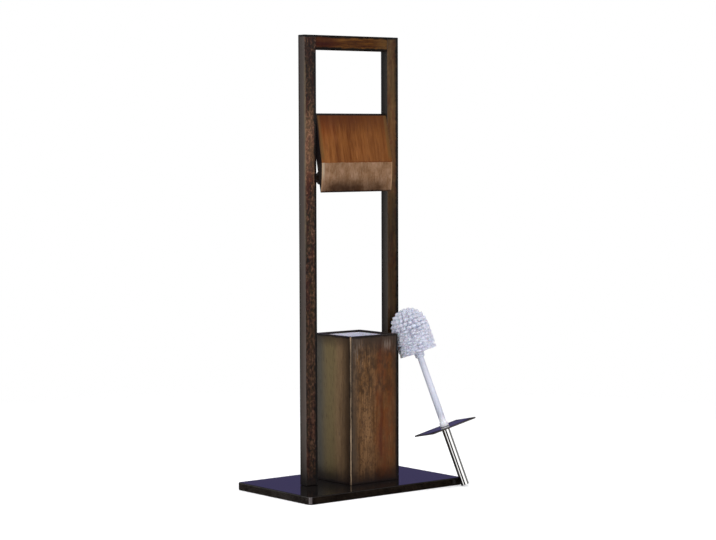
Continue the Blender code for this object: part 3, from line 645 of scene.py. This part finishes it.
def steel(name, colour, roughness, brushed, axis=(0, 0, 1), start=(0, 0, 0)):
    """Steel with fine lines round an axis. Brushed is how much its roughness varies."""
    look = Look(name, roughness, metallic=1.0)
    turn = Vector(axis).rotation_difference(Vector((0, 0, 1))).to_euler()
    place = look.mapped(look.place, turn, turn.to_matrix() @ -Vector(start))
    lines = look.noise(look.vector("MULTIPLY", place, (1, 1, 14)), 260, 3, 0.7)
    smear = look.noise(place, 90, 4, 0.7)
    both = look.total(look.product(lines, 0.5), look.product(smear, 0.5))
    shade = tuple(value * 0.86 for value in colour)
    tone = look.ramp(both, [(0.35, (*shade, 1)), (0.65, (*colour, 1))])
    rough = look.step(smear, 0.3, 0.75, roughness - brushed, roughness + brushed)
    return look.done(tone, rough, lines, 0.05, 0.0001)


# ---- shapes


def placed(name, data):
    """A new object in the scene."""
    made = bpy.data.objects.new(name, data)
    bpy.context.scene.collection.objects.link(made)
    return made


def add(name, mesh, finish, body, slot, *nodes):
    """A new piece of the object, its vertices in the row frame."""
    piece = placed(name, mesh)
    piece.data.materials.clear()
    piece.data.materials.append(finish)
    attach(piece, body)
    if nodes:
        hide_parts(*nodes)
    return piece


def from_bmesh(name, shape, angle=32):
    """The mesh of a shape, smooth but for edges sharper than an angle in degrees."""
    mesh = bpy.data.meshes.new(name)
    shape.to_mesh(mesh)
    shape.free()
    mesh.shade_smooth()
    mesh.set_sharp_from_angle(angle=math.radians(angle))
    return mesh


def circle(radius, height, sides):
    for i in range(sides):
        angle = math.tau * i / sides
        yield radius * math.cos(angle), radius * math.sin(angle), height


def lathe(name, profile, matrix, sides=72, loop=False):
    """A profile of (radius, height) turned about Z, then put in its place. A loop closes from
    its last point to its first."""
    shape = bmesh.new()
    rings = []
    for radius, height in profile:
        spots = circle(radius, height, sides) if radius else [(0, 0, height)]
        rings.append([shape.verts.new(spot) for spot in spots])
    for upper, lower in zip(rings, rings[1:] + rings[:1] if loop else rings[1:]):
        for i in range(sides):
            j = (i + 1) % sides
            spots = (upper, i), (upper, j), (lower, j), (lower, i)
            corners = list(dict.fromkeys(ring[k % len(ring)] for ring, k in spots))
            if len(corners) > 2:
                shape.faces.new(corners)
    bmesh.ops.recalc_face_normals(shape, faces=shape.faces)
    bmesh.ops.transform(shape, matrix=matrix, verts=shape.verts)
    return from_bmesh(name, shape)


def eased(points, radius, steps=4):
    """A profile with its corners rounded off, the first and last point apart."""
    made = [points[0]]
    for before, corner, after in zip(points, points[1:], points[2:]):
        corner = Vector(corner)
        back, ahead = Vector(before) - corner, Vector(after) - corner
        reach = min(radius, back.length * 0.49, ahead.length * 0.49)
        start, end = corner + back.normalized() * reach, corner + ahead.normalized() * reach
        for i in range(steps + 1):
            t = i / steps
            made.append(tuple(start * (1 - t) ** 2 + corner * 2 * t * (1 - t) + end * t * t))
    made.append(points[-1])
    return made


def along(start, direction):
    turn = Vector(direction).to_track_quat("Z", "Y")
    return Matrix.Translation(start) @ turn.to_matrix().to_4x4()


def refined(name, node, finish, slot, angle=50):
    """A CAD node's own shape with its facets welded and shaded as the smooth surface."""
    shape = bmesh.new()
    shape.from_mesh(NODES[node].data)
    bmesh.ops.remove_doubles(shape, verts=shape.verts, dist=1e-6)
    flat = math.radians(0.05)
    bmesh.ops.dissolve_limit(shape, angle_limit=flat, verts=shape.verts, edges=shape.edges)
    mesh = from_bmesh(name, shape, angle)
    piece = add(name, mesh, finish, NODES[node]["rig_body"], slot, node)
    weighted = piece.modifiers.new("shading", "WEIGHTED_NORMAL")
    weighted.keep_sharp = True
    weighted.weight = 80
    return piece


def dress(node, finish):
    """A CAD node keeps its shape and takes a better material."""
    for slot in NODES[node].material_slots:
        slot.material = finish


def brush_matrix():
    """The brush's place, worked out as in the CAD source: its foot is given, and its head
    leans on the box and the right post."""
    reach = math.hypot(HEAD_RADIUS, BRISTLE_TIP_RADIUS)
    slope_x = slope_y = 0.0
    for _ in range(30):
        rise = 1 / math.sqrt(1 + slope_x**2 + slope_y**2)
        foot_z = HANDLE_RADIUS * math.sqrt(1 - rise**2)
        beside = BOX_SIDE + FIT_GAP + reach * math.sqrt(1 + slope_x**2)
        slope_x = (beside - BRUSH_FOOT[0]) / (BOX_TOP - foot_z)
        before = -POST_DEPTH / 2 - FIT_GAP - reach
        slope_y = (before - BRUSH_FOOT[1]) / ((HEAD_START + DOME_START) * rise)
    axis = Vector((slope_x, slope_y, 1)).normalized()
    across = Vector((0, 0, 1)).cross(axis).normalized()
    columns = Matrix((across, axis.cross(across), axis)).transposed().to_4x4()
    return Matrix.Translation((*BRUSH_FOOT, foot_z)) @ columns @ Matrix.Rotation(BRUSH_TURN, 4, "Z")


BRUSH = brush_matrix()
AXIS = (BRUSH.to_3x3() @ Vector((0, 0, 1))).normalized()


def up_brush(height):
    """A place on the brush's axis."""
    return BRUSH @ Matrix.Translation((0, 0, height))


def tufts():
    """Root height on the core's axis, direction, reach and row's count of each tuft: rows
    round the core, then rings that fan out over its round end."""
    for row in range(TUFT_ROWS + DOME_RINGS + 1):
        ring = max(row - TUFT_ROWS, 0)
        rise = math.pi / 2 * ring / DOME_RINGS
        height = FIRST_ROW + (DOME_START - FIRST_ROW) * min(row / TUFT_ROWS, 1)
        count = max(1, round((TUFTS_ROUND_DOME if ring else TUFTS_PER_ROW) * math.cos(rise)))
        reach = 1 / math.hypot(math.cos(rise) / HEAD_RADIUS, math.sin(rise) / DOME_HEIGHT)
        for i in range(count):
            angle = math.tau * (i + 0.38 * row + 0.22 * math.sin(5.1 * i + 2.3 * row)) / count
            out = Vector((math.cos(angle), math.sin(angle), 0)) * math.cos(rise)
            yield height, out + Vector((0, 0, math.sin(rise))), reach, count


def kept_inside(point):
    """A point moved to inside the round outline that the head is cut to."""
    point = point.copy()
    point.z = min(max(point.z, 0.0004), HEAD_LENGTH - OUTLINE_MARGIN)
    over = max(point.z - DOME_START, 0) / DOME_HEIGHT
    limit = (HEAD_RADIUS - OUTLINE_MARGIN) * math.sqrt(max(1 - over * over, 0))
    flat = math.hypot(point.x, point.y)
    if flat > limit:
        point.xy = point.xy * (limit / flat)
    return point


def ring_faces(faces, first, rings, sides):
    """Side faces between rings of vertices, and a face over each end."""
    for ring in range(rings - 1):
        for k in range(sides):
            a, b = first + ring * sides + k, first + ring * sides + (k + 1) % sides
            faces.append((a, b, b + sides, a + sides))
    last = first + (rings - 1) * sides
    faces.append(tuple(range(first + sides - 1, first - 1, -1)))
    faces.append(tuple(range(last, last + sides)))


def tuft_points(chance, height, direction, reach, count):
    """One tuft's vertices: a ribbed clump that widens to its neighbours, then loose filaments
    round it and beyond its end."""
    flat = Vector((-direction.y, direction.x, 0))
    side = flat.normalized() if flat.length > 0.1 else Vector((1, 0, 0))
    other = direction.cross(side)
    centre = Vector((0, 0, height))
    wide = max(math.hypot(direction.x, direction.y) * math.tau / count * reach / 2, 0.0048)
    thick = (DOME_START - FIRST_ROW) / TUFT_ROWS / 2
    kind = ROW_TUFT
    if height >= DOME_START:
        thick = math.pi / 2 * reach / DOME_RINGS / 2
        kind = DOME_TUFT

    def fan(angle, size=1.0):
        return side * (wide * math.cos(angle) * size) + other * (thick * math.sin(angle) * size)

    def shift():
        return chance.uniform(-kind["loose"], kind["loose"])

    lean = side * shift() + other * shift()
    ribs = [chance.uniform(0.84, 1.0) for _ in range(CLUMP_SIDES)]
    for share, grown in zip(CLUMP_RINGS, kind["grows"]):
        for k in range(CLUMP_SIDES):
            size = kind["fill"] * grown * ribs[k] * (1.0 if k % 2 else 0.86)
            uneven = chance.uniform(-END_ROUGHNESS, END_ROUGHNESS) if share > 0.8 else 0
            out = (fan(math.tau * k / CLUMP_SIDES) + lean * share) * size
            yield centre + direction * reach * share + out + direction * uneven

    for _ in range(FILAMENTS_PER_TUFT):
        turn = chance.uniform(0, math.tau)
        spread = kind["fill"] * kind["spread"] * chance.random() ** 0.4
        start = centre + direction * reach * 0.45 + fan(turn, spread) * 0.45
        long = 0.998 - kind["droop"] * spread**2 - chance.uniform(0, 0.03)
        tip = centre + direction * reach * long + fan(turn, spread) + lean
        size = chance.uniform(*FILAMENT_RADIUS)
        for point, radius in ((start, size), (tip, size * 0.8)):
            for k in range(3):
                angle = turn + math.tau * k / 3
                yield point + (side * math.cos(angle) + other * math.sin(angle)) * radius


def bristles(name, finish):
    """Every tuft, and the head's inner mass under them."""
    chance = random.Random(11)
    verts, faces = [], []
    for tuft in tufts():
        first = len(verts)
        verts += [kept_inside(point) for point in tuft_points(chance, *tuft)]
        ring_faces(faces, first, len(CLUMP_RINGS), CLUMP_SIDES)
        first += len(CLUMP_RINGS) * CLUMP_SIDES
        for start in range(first, len(verts), 6):
            ring_faces(faces, start, 2, 3)

    profile = [(CORE_RADIUS * 0.9, MASS_START)]
    for i in range(MASS_RINGS + 1):
        share = MASS_SHARE + (DOME_MASS_SHARE - MASS_SHARE) * (i / MASS_RINGS) ** 3
        height = MASS_START + (DOME_START - MASS_START) * i / MASS_RINGS
        profile.append((HEAD_RADIUS * share, height))
    for i in range(1, MASS_RINGS):
        rise = math.pi / 2 * i / MASS_RINGS
        over = DOME_START + DOME_HEIGHT * DOME_MASS_SHARE * math.sin(rise)
        profile.append((HEAD_RADIUS * DOME_MASS_SHARE * math.cos(rise), over))
    first = len(verts)
    for radius, height in profile:
        for x, y, z in circle(radius, height, MASS_SIDES):
            rough = chance.uniform(0.94, 1.0)
            verts.append(Vector((x * rough, y * rough, z)))
    ring_faces(faces, first, len(profile), MASS_SIDES)
    place = up_brush(HEAD_START)
    mesh = bpy.data.meshes.new(name)
    mesh.from_pydata([place @ v for v in verts], [], faces)
    mesh.shade_smooth()
    add(name, mesh, finish, "brush", "white_plastic", "brush_head")


def brush(white, handle_steel, lid_look, filaments):
    """The brush's round pieces, turned finely, and its lid and bristles."""
    bore = HANDLE_RADIUS - HANDLE_WALL
    tube = [
        (bore, 0.0004), (bore + 0.0003, 0.0), (HANDLE_RADIUS - 0.0005, 0.0),
        (HANDLE_RADIUS, 0.0005), (HANDLE_RADIUS, HANDLE_LENGTH - HANDLE_EDGE),
        (HANDLE_RADIUS - HANDLE_EDGE, HANDLE_LENGTH), (bore, HANDLE_LENGTH),
    ]
    mesh = lathe("handle_shell", tube, BRUSH, 96, loop=True)
    add("handle_shell", mesh, handle_steel, "brush", "polished_steel", "handle_tube")
    fit = bore - FIT_GAP
    cap = eased([(0, 0), (fit, 0), (fit, CAP_LENGTH), (0, CAP_LENGTH)], CAP_ROUNDING)
    mesh = lathe("handle_plug", cap, up_brush(CAP_RECESS), 64)
    add("handle_plug", mesh, handle_steel, "brush", "polished_steel", "handle_end_cap")
    flange = STEM_LENGTH - FLANGE_LENGTH
    end = STEM_LENGTH + SPIGOT_LENGTH
    outside = [
        (STEM_BORE, 0), (COLLAR_RADIUS, 0), (COLLAR_RADIUS, 0.0078),
        (STEM_RADIUS_AT_COLLAR + 0.0002, 0.0082), (STEM_RADIUS_AT_COLLAR, 0.012),
        (STEM_RADIUS_AT_HEAD, flange - FLANGE_TAPER), (FLANGE_RADIUS - 0.0004, flange),
        (FLANGE_RADIUS - 0.0004, flange + 0.0034), (FLANGE_RADIUS - 0.0012, flange + 0.0042),
        (FLANGE_RADIUS, flange + 0.0050), (FLANGE_RADIUS, STEM_LENGTH),
        (SPIGOT_RADIUS, STEM_LENGTH), (SPIGOT_RADIUS, end), (0, end),
    ]
    stem = eased(outside, STEM_ROUNDING) + [(0, STUD_IN_STEM), (STEM_BORE, STUD_IN_STEM)]
    mesh = lathe("stem_moulding", stem, up_brush(STEM_START), loop=True)
    add("stem_moulding", mesh, white, "brush", "white_plastic", "brush_stem")
    socket, depth = SPIGOT_RADIUS + FIT_GAP, SPIGOT_LENGTH + FIT_GAP
    core = [(socket, depth), (socket, 0)]
    core += [(CORE_RADIUS - CORE_EDGE, 0), (CORE_RADIUS, CORE_EDGE)]
    for i in range(CORE_RINGS):
        rise = math.pi / 2 * i / CORE_RINGS
        core.append((CORE_RADIUS * math.cos(rise), DOME_START + CORE_RADIUS * math.sin(rise)))
    core += [(0, DOME_START + CORE_RADIUS), (0, depth)]
    mesh = lathe("head_core", core, up_brush(HEAD_START), 64, loop=True)
    add("head_core", mesh, white, "brush", "white_plastic")
    bristles("bristle_tufts", filaments)
    refined("lid_plate", "brush_lid", lid_look, "dark_lacquer")


def roller_half(name, half, place, radius, length, plastic):
    """One half of the roller: a tube with an end wall and a spindle."""
    bore = radius - ROLLER_WALL
    outside = [
        (0, SPINDLE_LENGTH), (SPINDLE_RADIUS, SPINDLE_LENGTH), (SPINDLE_RADIUS, 0),
        (radius, 0), (radius, -length), (bore, -length),
    ]
    profile = eased(outside, ROLLER_EDGE) + [(bore, -ROLLER_END_WALL), (0, -ROLLER_END_WALL)]
    mesh = lathe(name, profile, place, 64)
    add(name, mesh, plastic, f"roller_{half}", "dark_plastic", f"roller_{half}_half")


def roller(plastic, zinc, peg_look):
    """The roller's halves and pegs, turned finely, and the spring that the inner half
    squashes."""
    right = along((ROLLER_END, 0, ROLLER_HEIGHT), (1, 0, 0))
    left = along((-ROLLER_END, 0, ROLLER_HEIGHT), (-1, 0, 0))
    length = 2 * ROLLER_END - ROLLER_INNER_SHOWS
    roller_half("roller_sleeve", "outer", right, ROLLER_RADIUS, length, plastic)
    radius, length = ROLLER_RADIUS - ROLLER_WALL - FIT_GAP, ROLLER_INNER_SHOWS + ROLLER_OVERLAP
    roller_half("roller_slide", "inner", left, radius, length, plastic)
    spring = refined("spring_coil", "roller_spring", zinc, "zinc_steel")
    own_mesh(spring)
    socket, bottom = SPINDLE_RADIUS + FIT_GAP, PEG_LENGTH - PEG_SOCKET_DEPTH
    peg = [
        (0, bottom), (socket, bottom), (socket, PEG_LENGTH), (PEG_RADIUS, PEG_LENGTH),
        (PEG_RADIUS, 0), (PEG_SHANK_RADIUS, 0), (PEG_SHANK_RADIUS, -PEG_SHANK_LENGTH),
        (0, -PEG_SHANK_LENGTH),
    ]
    for word, side in (("left", -1), ("right", 1)):
        name = f"{word}_peg_turned"
        place = along((side * (INNER_HALF - FIT_GAP), 0, ROLLER_HEIGHT), (-side, 0, 0))
        mesh = lathe(name, eased(peg, PEG_EDGE), place, 48)
        add(name, mesh, peg_look, "stand", "peg_wood", f"{word}_roller_peg")


def cross_cutter(name, middle):
    """The block that cuts a screw's recess: a cross, through the head's face."""
    shape = bmesh.new()
    arm, half = RECESS_ARM, RECESS_HALF_WIDTH
    outline = [(arm, -half), (arm, half), (half, half)]
    for _ in range(3):
        outline += [(-y, x) for x, y in outline[-3:]]
    base = shape.faces.new([shape.verts.new((x, y, -RECESS_DEPTH)) for x, y in outline])
    grown = bmesh.ops.extrude_face_region(shape, geom=[base])["geom"]
    raised = [part for part in grown if isinstance(part, bmesh.types.BMVert)]
    bmesh.ops.translate(shape, vec=(0, 0, 2 * RECESS_DEPTH), verts=raised)
    bmesh.ops.recalc_face_normals(shape, faces=shape.faces)
    bmesh.ops.translate(shape, vec=middle, verts=shape.verts)
    return placed(name, from_bmesh(name, shape))


def screw(name, node, finish):
    """A countersunk wood screw with a cross recess and a smooth shank."""
    low, high = box_of(node)
    length = high[2] - low[2]
    point, shank = length - SCREW_POINT, SCREW_RADIUS * 0.95
    rim = SCREW_HEAD_RADIUS - 0.0001
    profile = [
        (0, length), (SCREW_RADIUS * 0.72, point), (shank, point), (shank, SCREW_HEAD_HEIGHT),
        (rim, SCREW_HEAD_RIM), (rim, 0.0001), (SCREW_HEAD_RADIUS - 0.0003, 0), (0, 0),
    ]
    middle = ((low[0] + high[0]) / 2, (low[1] + high[1]) / 2, low[2])
    mesh = lathe(name, profile, Matrix.Translation(middle), SCREW_SIDES)
    piece = add(name, mesh, finish, "stand", "zinc_steel", node)
    recess = piece.modifiers.new("recess", "BOOLEAN")
    recess.object = cross_cutter(f"{name}_recess", middle)
    bpy.context.view_layer.update()
    graph = bpy.context.evaluated_depsgraph_get()
    cut = bpy.data.meshes.new_from_object(piece.evaluated_get(graph))
    bpy.data.objects.remove(recess.object)
    piece.modifiers.clear()
    piece.data = cut


# ---- studio


class Sky(Look):
    """The world's nodes, which take a direction instead of a place."""

    def __init__(self, world):
        self.tree = world.node_tree
        self.place = self.tree.nodes.new("ShaderNodeTexCoord").outputs["Generated"]

    def towards(self, azimuth, wide, narrow):
        """One within narrow degrees of an azimuth, and nothing beyond wide."""
        flat = self.vector("NORMALIZE", self.vector("MULTIPLY", self.place, (1, 1, 0)))
        angle = math.radians(azimuth)
        near = self.vector("DOT_PRODUCT", flat, (math.cos(angle), math.sin(angle), 0), output=1)
        return self.step(near, math.cos(math.radians(wide)), math.cos(math.radians(narrow)))


def add_camera():
    """The photograph's view, fitted to the edges in it."""
    lens = bpy.data.cameras.new("camera")
    lens.lens = 108.130
    lens.sensor_width = 36
    lens.clip_end = 60
    camera = placed("camera", lens)
    right = Vector((0.77957302, -0.62630265, -0.00330093))
    up = Vector((0.04083601, 0.04556887, 0.99812619))
    back = Vector((-0.62497866, -0.77824705, 0.06109997))
    turn = Matrix((right, up, back)).transposed().to_4x4()
    camera.matrix_world = Matrix.Translation((-2.428856, -3.048764, 0.636114)) @ turn
    bpy.context.scene.camera = camera


def add_world():
    """White to the camera, soft light for the surfaces, and for their gloss a room with a
    violet wall, a bright strip and a card."""
    surroundings = bpy.data.worlds.new("studio")
    surroundings.use_nodes = True
    bpy.context.scene.world = surroundings
    look = Sky(surroundings)
    z = look.axes(look.place)[2]
    height = look.total(look.product(z, 0.5), 0.5)
    dark, dim = (0.006, 0.006, 0.007, 1), (0.016, 0.015, 0.018, 1)
    grey, pale = (0.16, 0.16, 0.16, 1), (0.40, 0.40, 0.41, 1)
    violet, lilac = (0.105, 0.092, 0.220, 1), (0.20, 0.19, 0.26, 1)
    low = [(0.17, pale), (0.22, dark), (0.30, dark), (0.42, dim), (0.49, dim)]
    room = look.ramp(height, low + [(0.51, grey), (0.64, grey), (0.74, pale)])
    wall = look.ramp(height, [(0.485, dim), (0.505, violet), (0.60, violet), (0.75, lilac)])
    room = look.mix(look.towards(51, 50, 40), room, wall)
    strip = look.product(look.step(z, -0.46, -0.40), look.step(z, -0.05, -0.10))
    room = look.mix(look.product(look.towards(-167, 13, 9), strip), room, (1.9, 1.9, 1.9, 1))
    card = look.product(look.towards(4, 26, 18), look.step(z, -0.10, -0.02))
    room = look.mix(card, room, (0.70, 0.70, 0.70, 1))
    path = look.tree.nodes.new("ShaderNodeLightPath")
    lit = look.mix(path.outputs["Is Glossy Ray"], (0.56, 0.56, 0.58, 1), room)
    lit = look.mix(path.outputs["Is Camera Ray"], lit, (1, 1, 1, 1))
    look.feed(look.tree.nodes["Background"].inputs["Color"], lit)


def softbox(name, towards, distance, height, size, radiance, colour=(1, 1, 1)):
    """A soft light that stands in a direction from the object and faces its middle."""
    light = bpy.data.lights.new(name, "AREA")
    light.shape = "RECTANGLE"
    light.size, light.size_y = size
    light.energy = radiance * math.pi * size[0] * size[1]
    light.color = colour
    made = placed(name, light)
    place = Vector((*towards, 0)).normalized() * distance + Vector((0, 0, height))
    aim = Vector((0, 0, 0.40)) - place
    turn = aim.to_track_quat("-Z", "Y").to_matrix().to_4x4()
    made.matrix_world = Matrix.Translation(place) @ turn
    made.visible_camera = False


def add_floor():
    """A pale paper floor that fades into the background."""
    shape = bmesh.new()
    bmesh.ops.create_circle(shape, cap_ends=True, segments=96, radius=2.6)
    mesh = from_bmesh("floor", shape)
    floor = placed("floor", mesh)
    floor.location = (0, 0, -0.0003)
    look = Look("floor_paper", 0.9, Emission_Color=(1, 1, 1, 1), Emission_Strength=0.30)
    paper = [(0.3, (0.93, 0.93, 0.94, 1)), (0.7, (0.96, 0.96, 0.96, 1))]
    look.feed(look.shader.inputs["Base Color"], look.ramp(look.noise(look.place, 3, 2), paper))
    fade = look.step(look.distance(look.place, (0, 0, 0)), 0.45, 1.6)
    clear = look.tree.nodes.new("ShaderNodeBsdfTransparent").outputs[0]
    inputs = {0: fade, 1: look.shader.outputs[0], 2: clear}
    faded = look.node("ShaderNodeMixShader", inputs)
    look.feed(look.tree.nodes["Material Output"].inputs["Surface"], faded)
    mesh.materials.append(look.material)
    floor.visible_glossy = False


def studio():
    bpy.context.scene.view_settings.view_transform = "Standard"
    add_camera()
    add_world()
    softbox("front_softbox", (0.05, -1.0), 2.6, 0.9, (2.6, 2.2), 2.0)
    softbox("left_softbox", (-1.0, -0.18), 2.4, 0.9, (1.6, 2.2), 1.7)
    softbox("rear_left_card", (-0.72, 0.70), 2.6, 0.7, (1.4, 2.0), 0.35, (0.94, 0.95, 1.0))
    softbox("rear_softbox", (0.12, 1.0), 2.8, 1.0, (2.4, 1.8), 0.75)
    softbox("top_softbox", (-0.1, -0.2), 0.4, 2.6, (2.2, 2.2), 1.8)
    add_floor()


# ---- the object

LEFT_POST = dict(
    seed=0.0,
    cloudy=0.80,
    front=[(0.40, (14, 7, 6)), (0.46, (42, 25, 18)), (0.52, (68, 44, 33)), (0.59, (112, 80, 62))],
    lengthwise=[
        (0.02, 0.42), (0.07, 0.66), (0.28, 0.64), (0.36, 0.80), (0.52, 0.95), (0.56, 1.80),
        (0.645, 2.2), (0.685, 1.10), (0.73, 0.58), (0.78, 0.54), (0.82, 0.84),
    ],
    # The side tones are painted sheen; across and the side shade pair are painted shade.
    side=[(0.2, (74, 67, 62, 1.05)), (0.5, (82, 73, 68, 1.05)), (0.8, (90, 81, 75, 1.05))],
    across=[
        (-0.0095, 1.12), (-0.005, 1.0), (0.001, 0.78), (0.0045, 0.74), (0.0062, 0.22),
        (0.0095, 0.12),
    ],
    beside_flap=(122, 90, 70),
    plain=(0.95, 0.95),
    width=0.0078,
)
RIGHT_POST = dict(
    seed=2.6,
    cloudy=0.35,
    front=[(0.30, (46, 32, 18)), (0.47, (78, 56, 34)), (0.56, (88, 64, 40)), (0.72, (108, 82, 52))],
    lengthwise=[
        (0.014, 0.45), (0.36, 0.55), (0.50, 0.66), (0.545, 1.0), (0.60, 1.45), (0.66, 1.25),
        (0.72, 1.0), (0.82, 0.9),
    ],
    # The side tones are painted sheen; across and the side shade pair are painted shade.
    side=[(0.2, (64, 59, 54)), (0.5, (72, 66, 60)), (0.8, (80, 73, 66))],
    across=[(-0.0095, 1.0), (-0.004, 0.75), (0.001, 0.45), (0.006, 0.20), (0.0095, 0.12)],
    beside_flap=(104, 54, 24),
    plain=(1.0, 0.52),
    width=0.0094,
)
FRONT_TONES = [(0.2, (60, 40, 24)), (0.5, (100, 70, 42)), (0.8, (128, 94, 62))]
SIDE_TONES = [(0.2, (66, 50, 34, 0.80)), (0.5, (100, 79, 56, 0.80)), (0.8, (116, 94, 68, 0.80))]
STEM_FOOT = tuple(up_brush(STEM_START).translation)

zinc = steel("zinc_plate", (0.52, 0.52, 0.53), 0.34, 0.08)
beech = plain_wood("beech_grain", (186, 150, 108), (208, 174, 132), ALONG_X, 0.5, 0.66)
cup_white = white_plastic("cup_moulding", (223, 223, 236), (218, 218, 232), 0.30, 0.36)

base_look = lacquer("dark_lacquer_gloss", edges_of="base_plate")
refined("base_board", "base_plate", base_look, "dark_lacquer")
refined("left_upright", "left_post", post_wood("left", **LEFT_POST), "post_wood")
refined("right_upright", "right_post", post_wood("right", **RIGHT_POST), "post_wood")
refined("rail_board", "top_rail", rail_wood(), "post_wood")
refined("flap_board", "flap", flap_wood(), "flap_wood")
refined("lift_out_cup", "insert_cup", cup_white, "white_plastic", 40)

box_wall("front", 0.6, FRONT_TONES, front_features)
box_wall("left", 1.9, SIDE_TONES, left_features, 0.5)
box_wall("right", 3.3, FRONT_TONES)
box_wall("rear", 5.2, SIDE_TONES)
dress("box_floor", plain_wood("box_floor_stain", (70, 50, 34), (98, 72, 50), ALONG_Y, 0.4, 0.55))
dress("threaded_stud", zinc)
dress("handle_insert", zinc)

for word in ("left", "right"):
    dress(f"{word}_dowel_upper", beech)
    dress(f"{word}_dowel_lower", beech)
    dress(f"{word}_flap_pin", zinc)
    screw(f"{word}_screw_outer", f"{word}_post_screw_outer", zinc)
    screw(f"{word}_screw_inner", f"{word}_post_screw_inner", zinc)
screw("floor_screw_front", "box_screw_front", zinc)
screw("floor_screw_rear", "box_screw_rear", zinc)

peg_stain = plain_wood("peg_stain", (40, 28, 22), (56, 42, 34), ALONG_X, 0.34, 0.46)
roller(dark_plastic("roller_plastic"), zinc, peg_stain)
brush(
    white_plastic("white_moulding", (194, 197, 209), (186, 189, 203), 0.26, 0.40, STEM_FOOT),
    steel("handle_polish", (0.58, 0.57, 0.56), 0.060, 0.015, AXIS, BRUSH.translation),
    lacquer("lid_lacquer_gloss", gloss_near=STEM_FOOT),
    bristle_plastic("bristle_filaments", up_brush(HEAD_START).translation, AXIS),
)
studio()
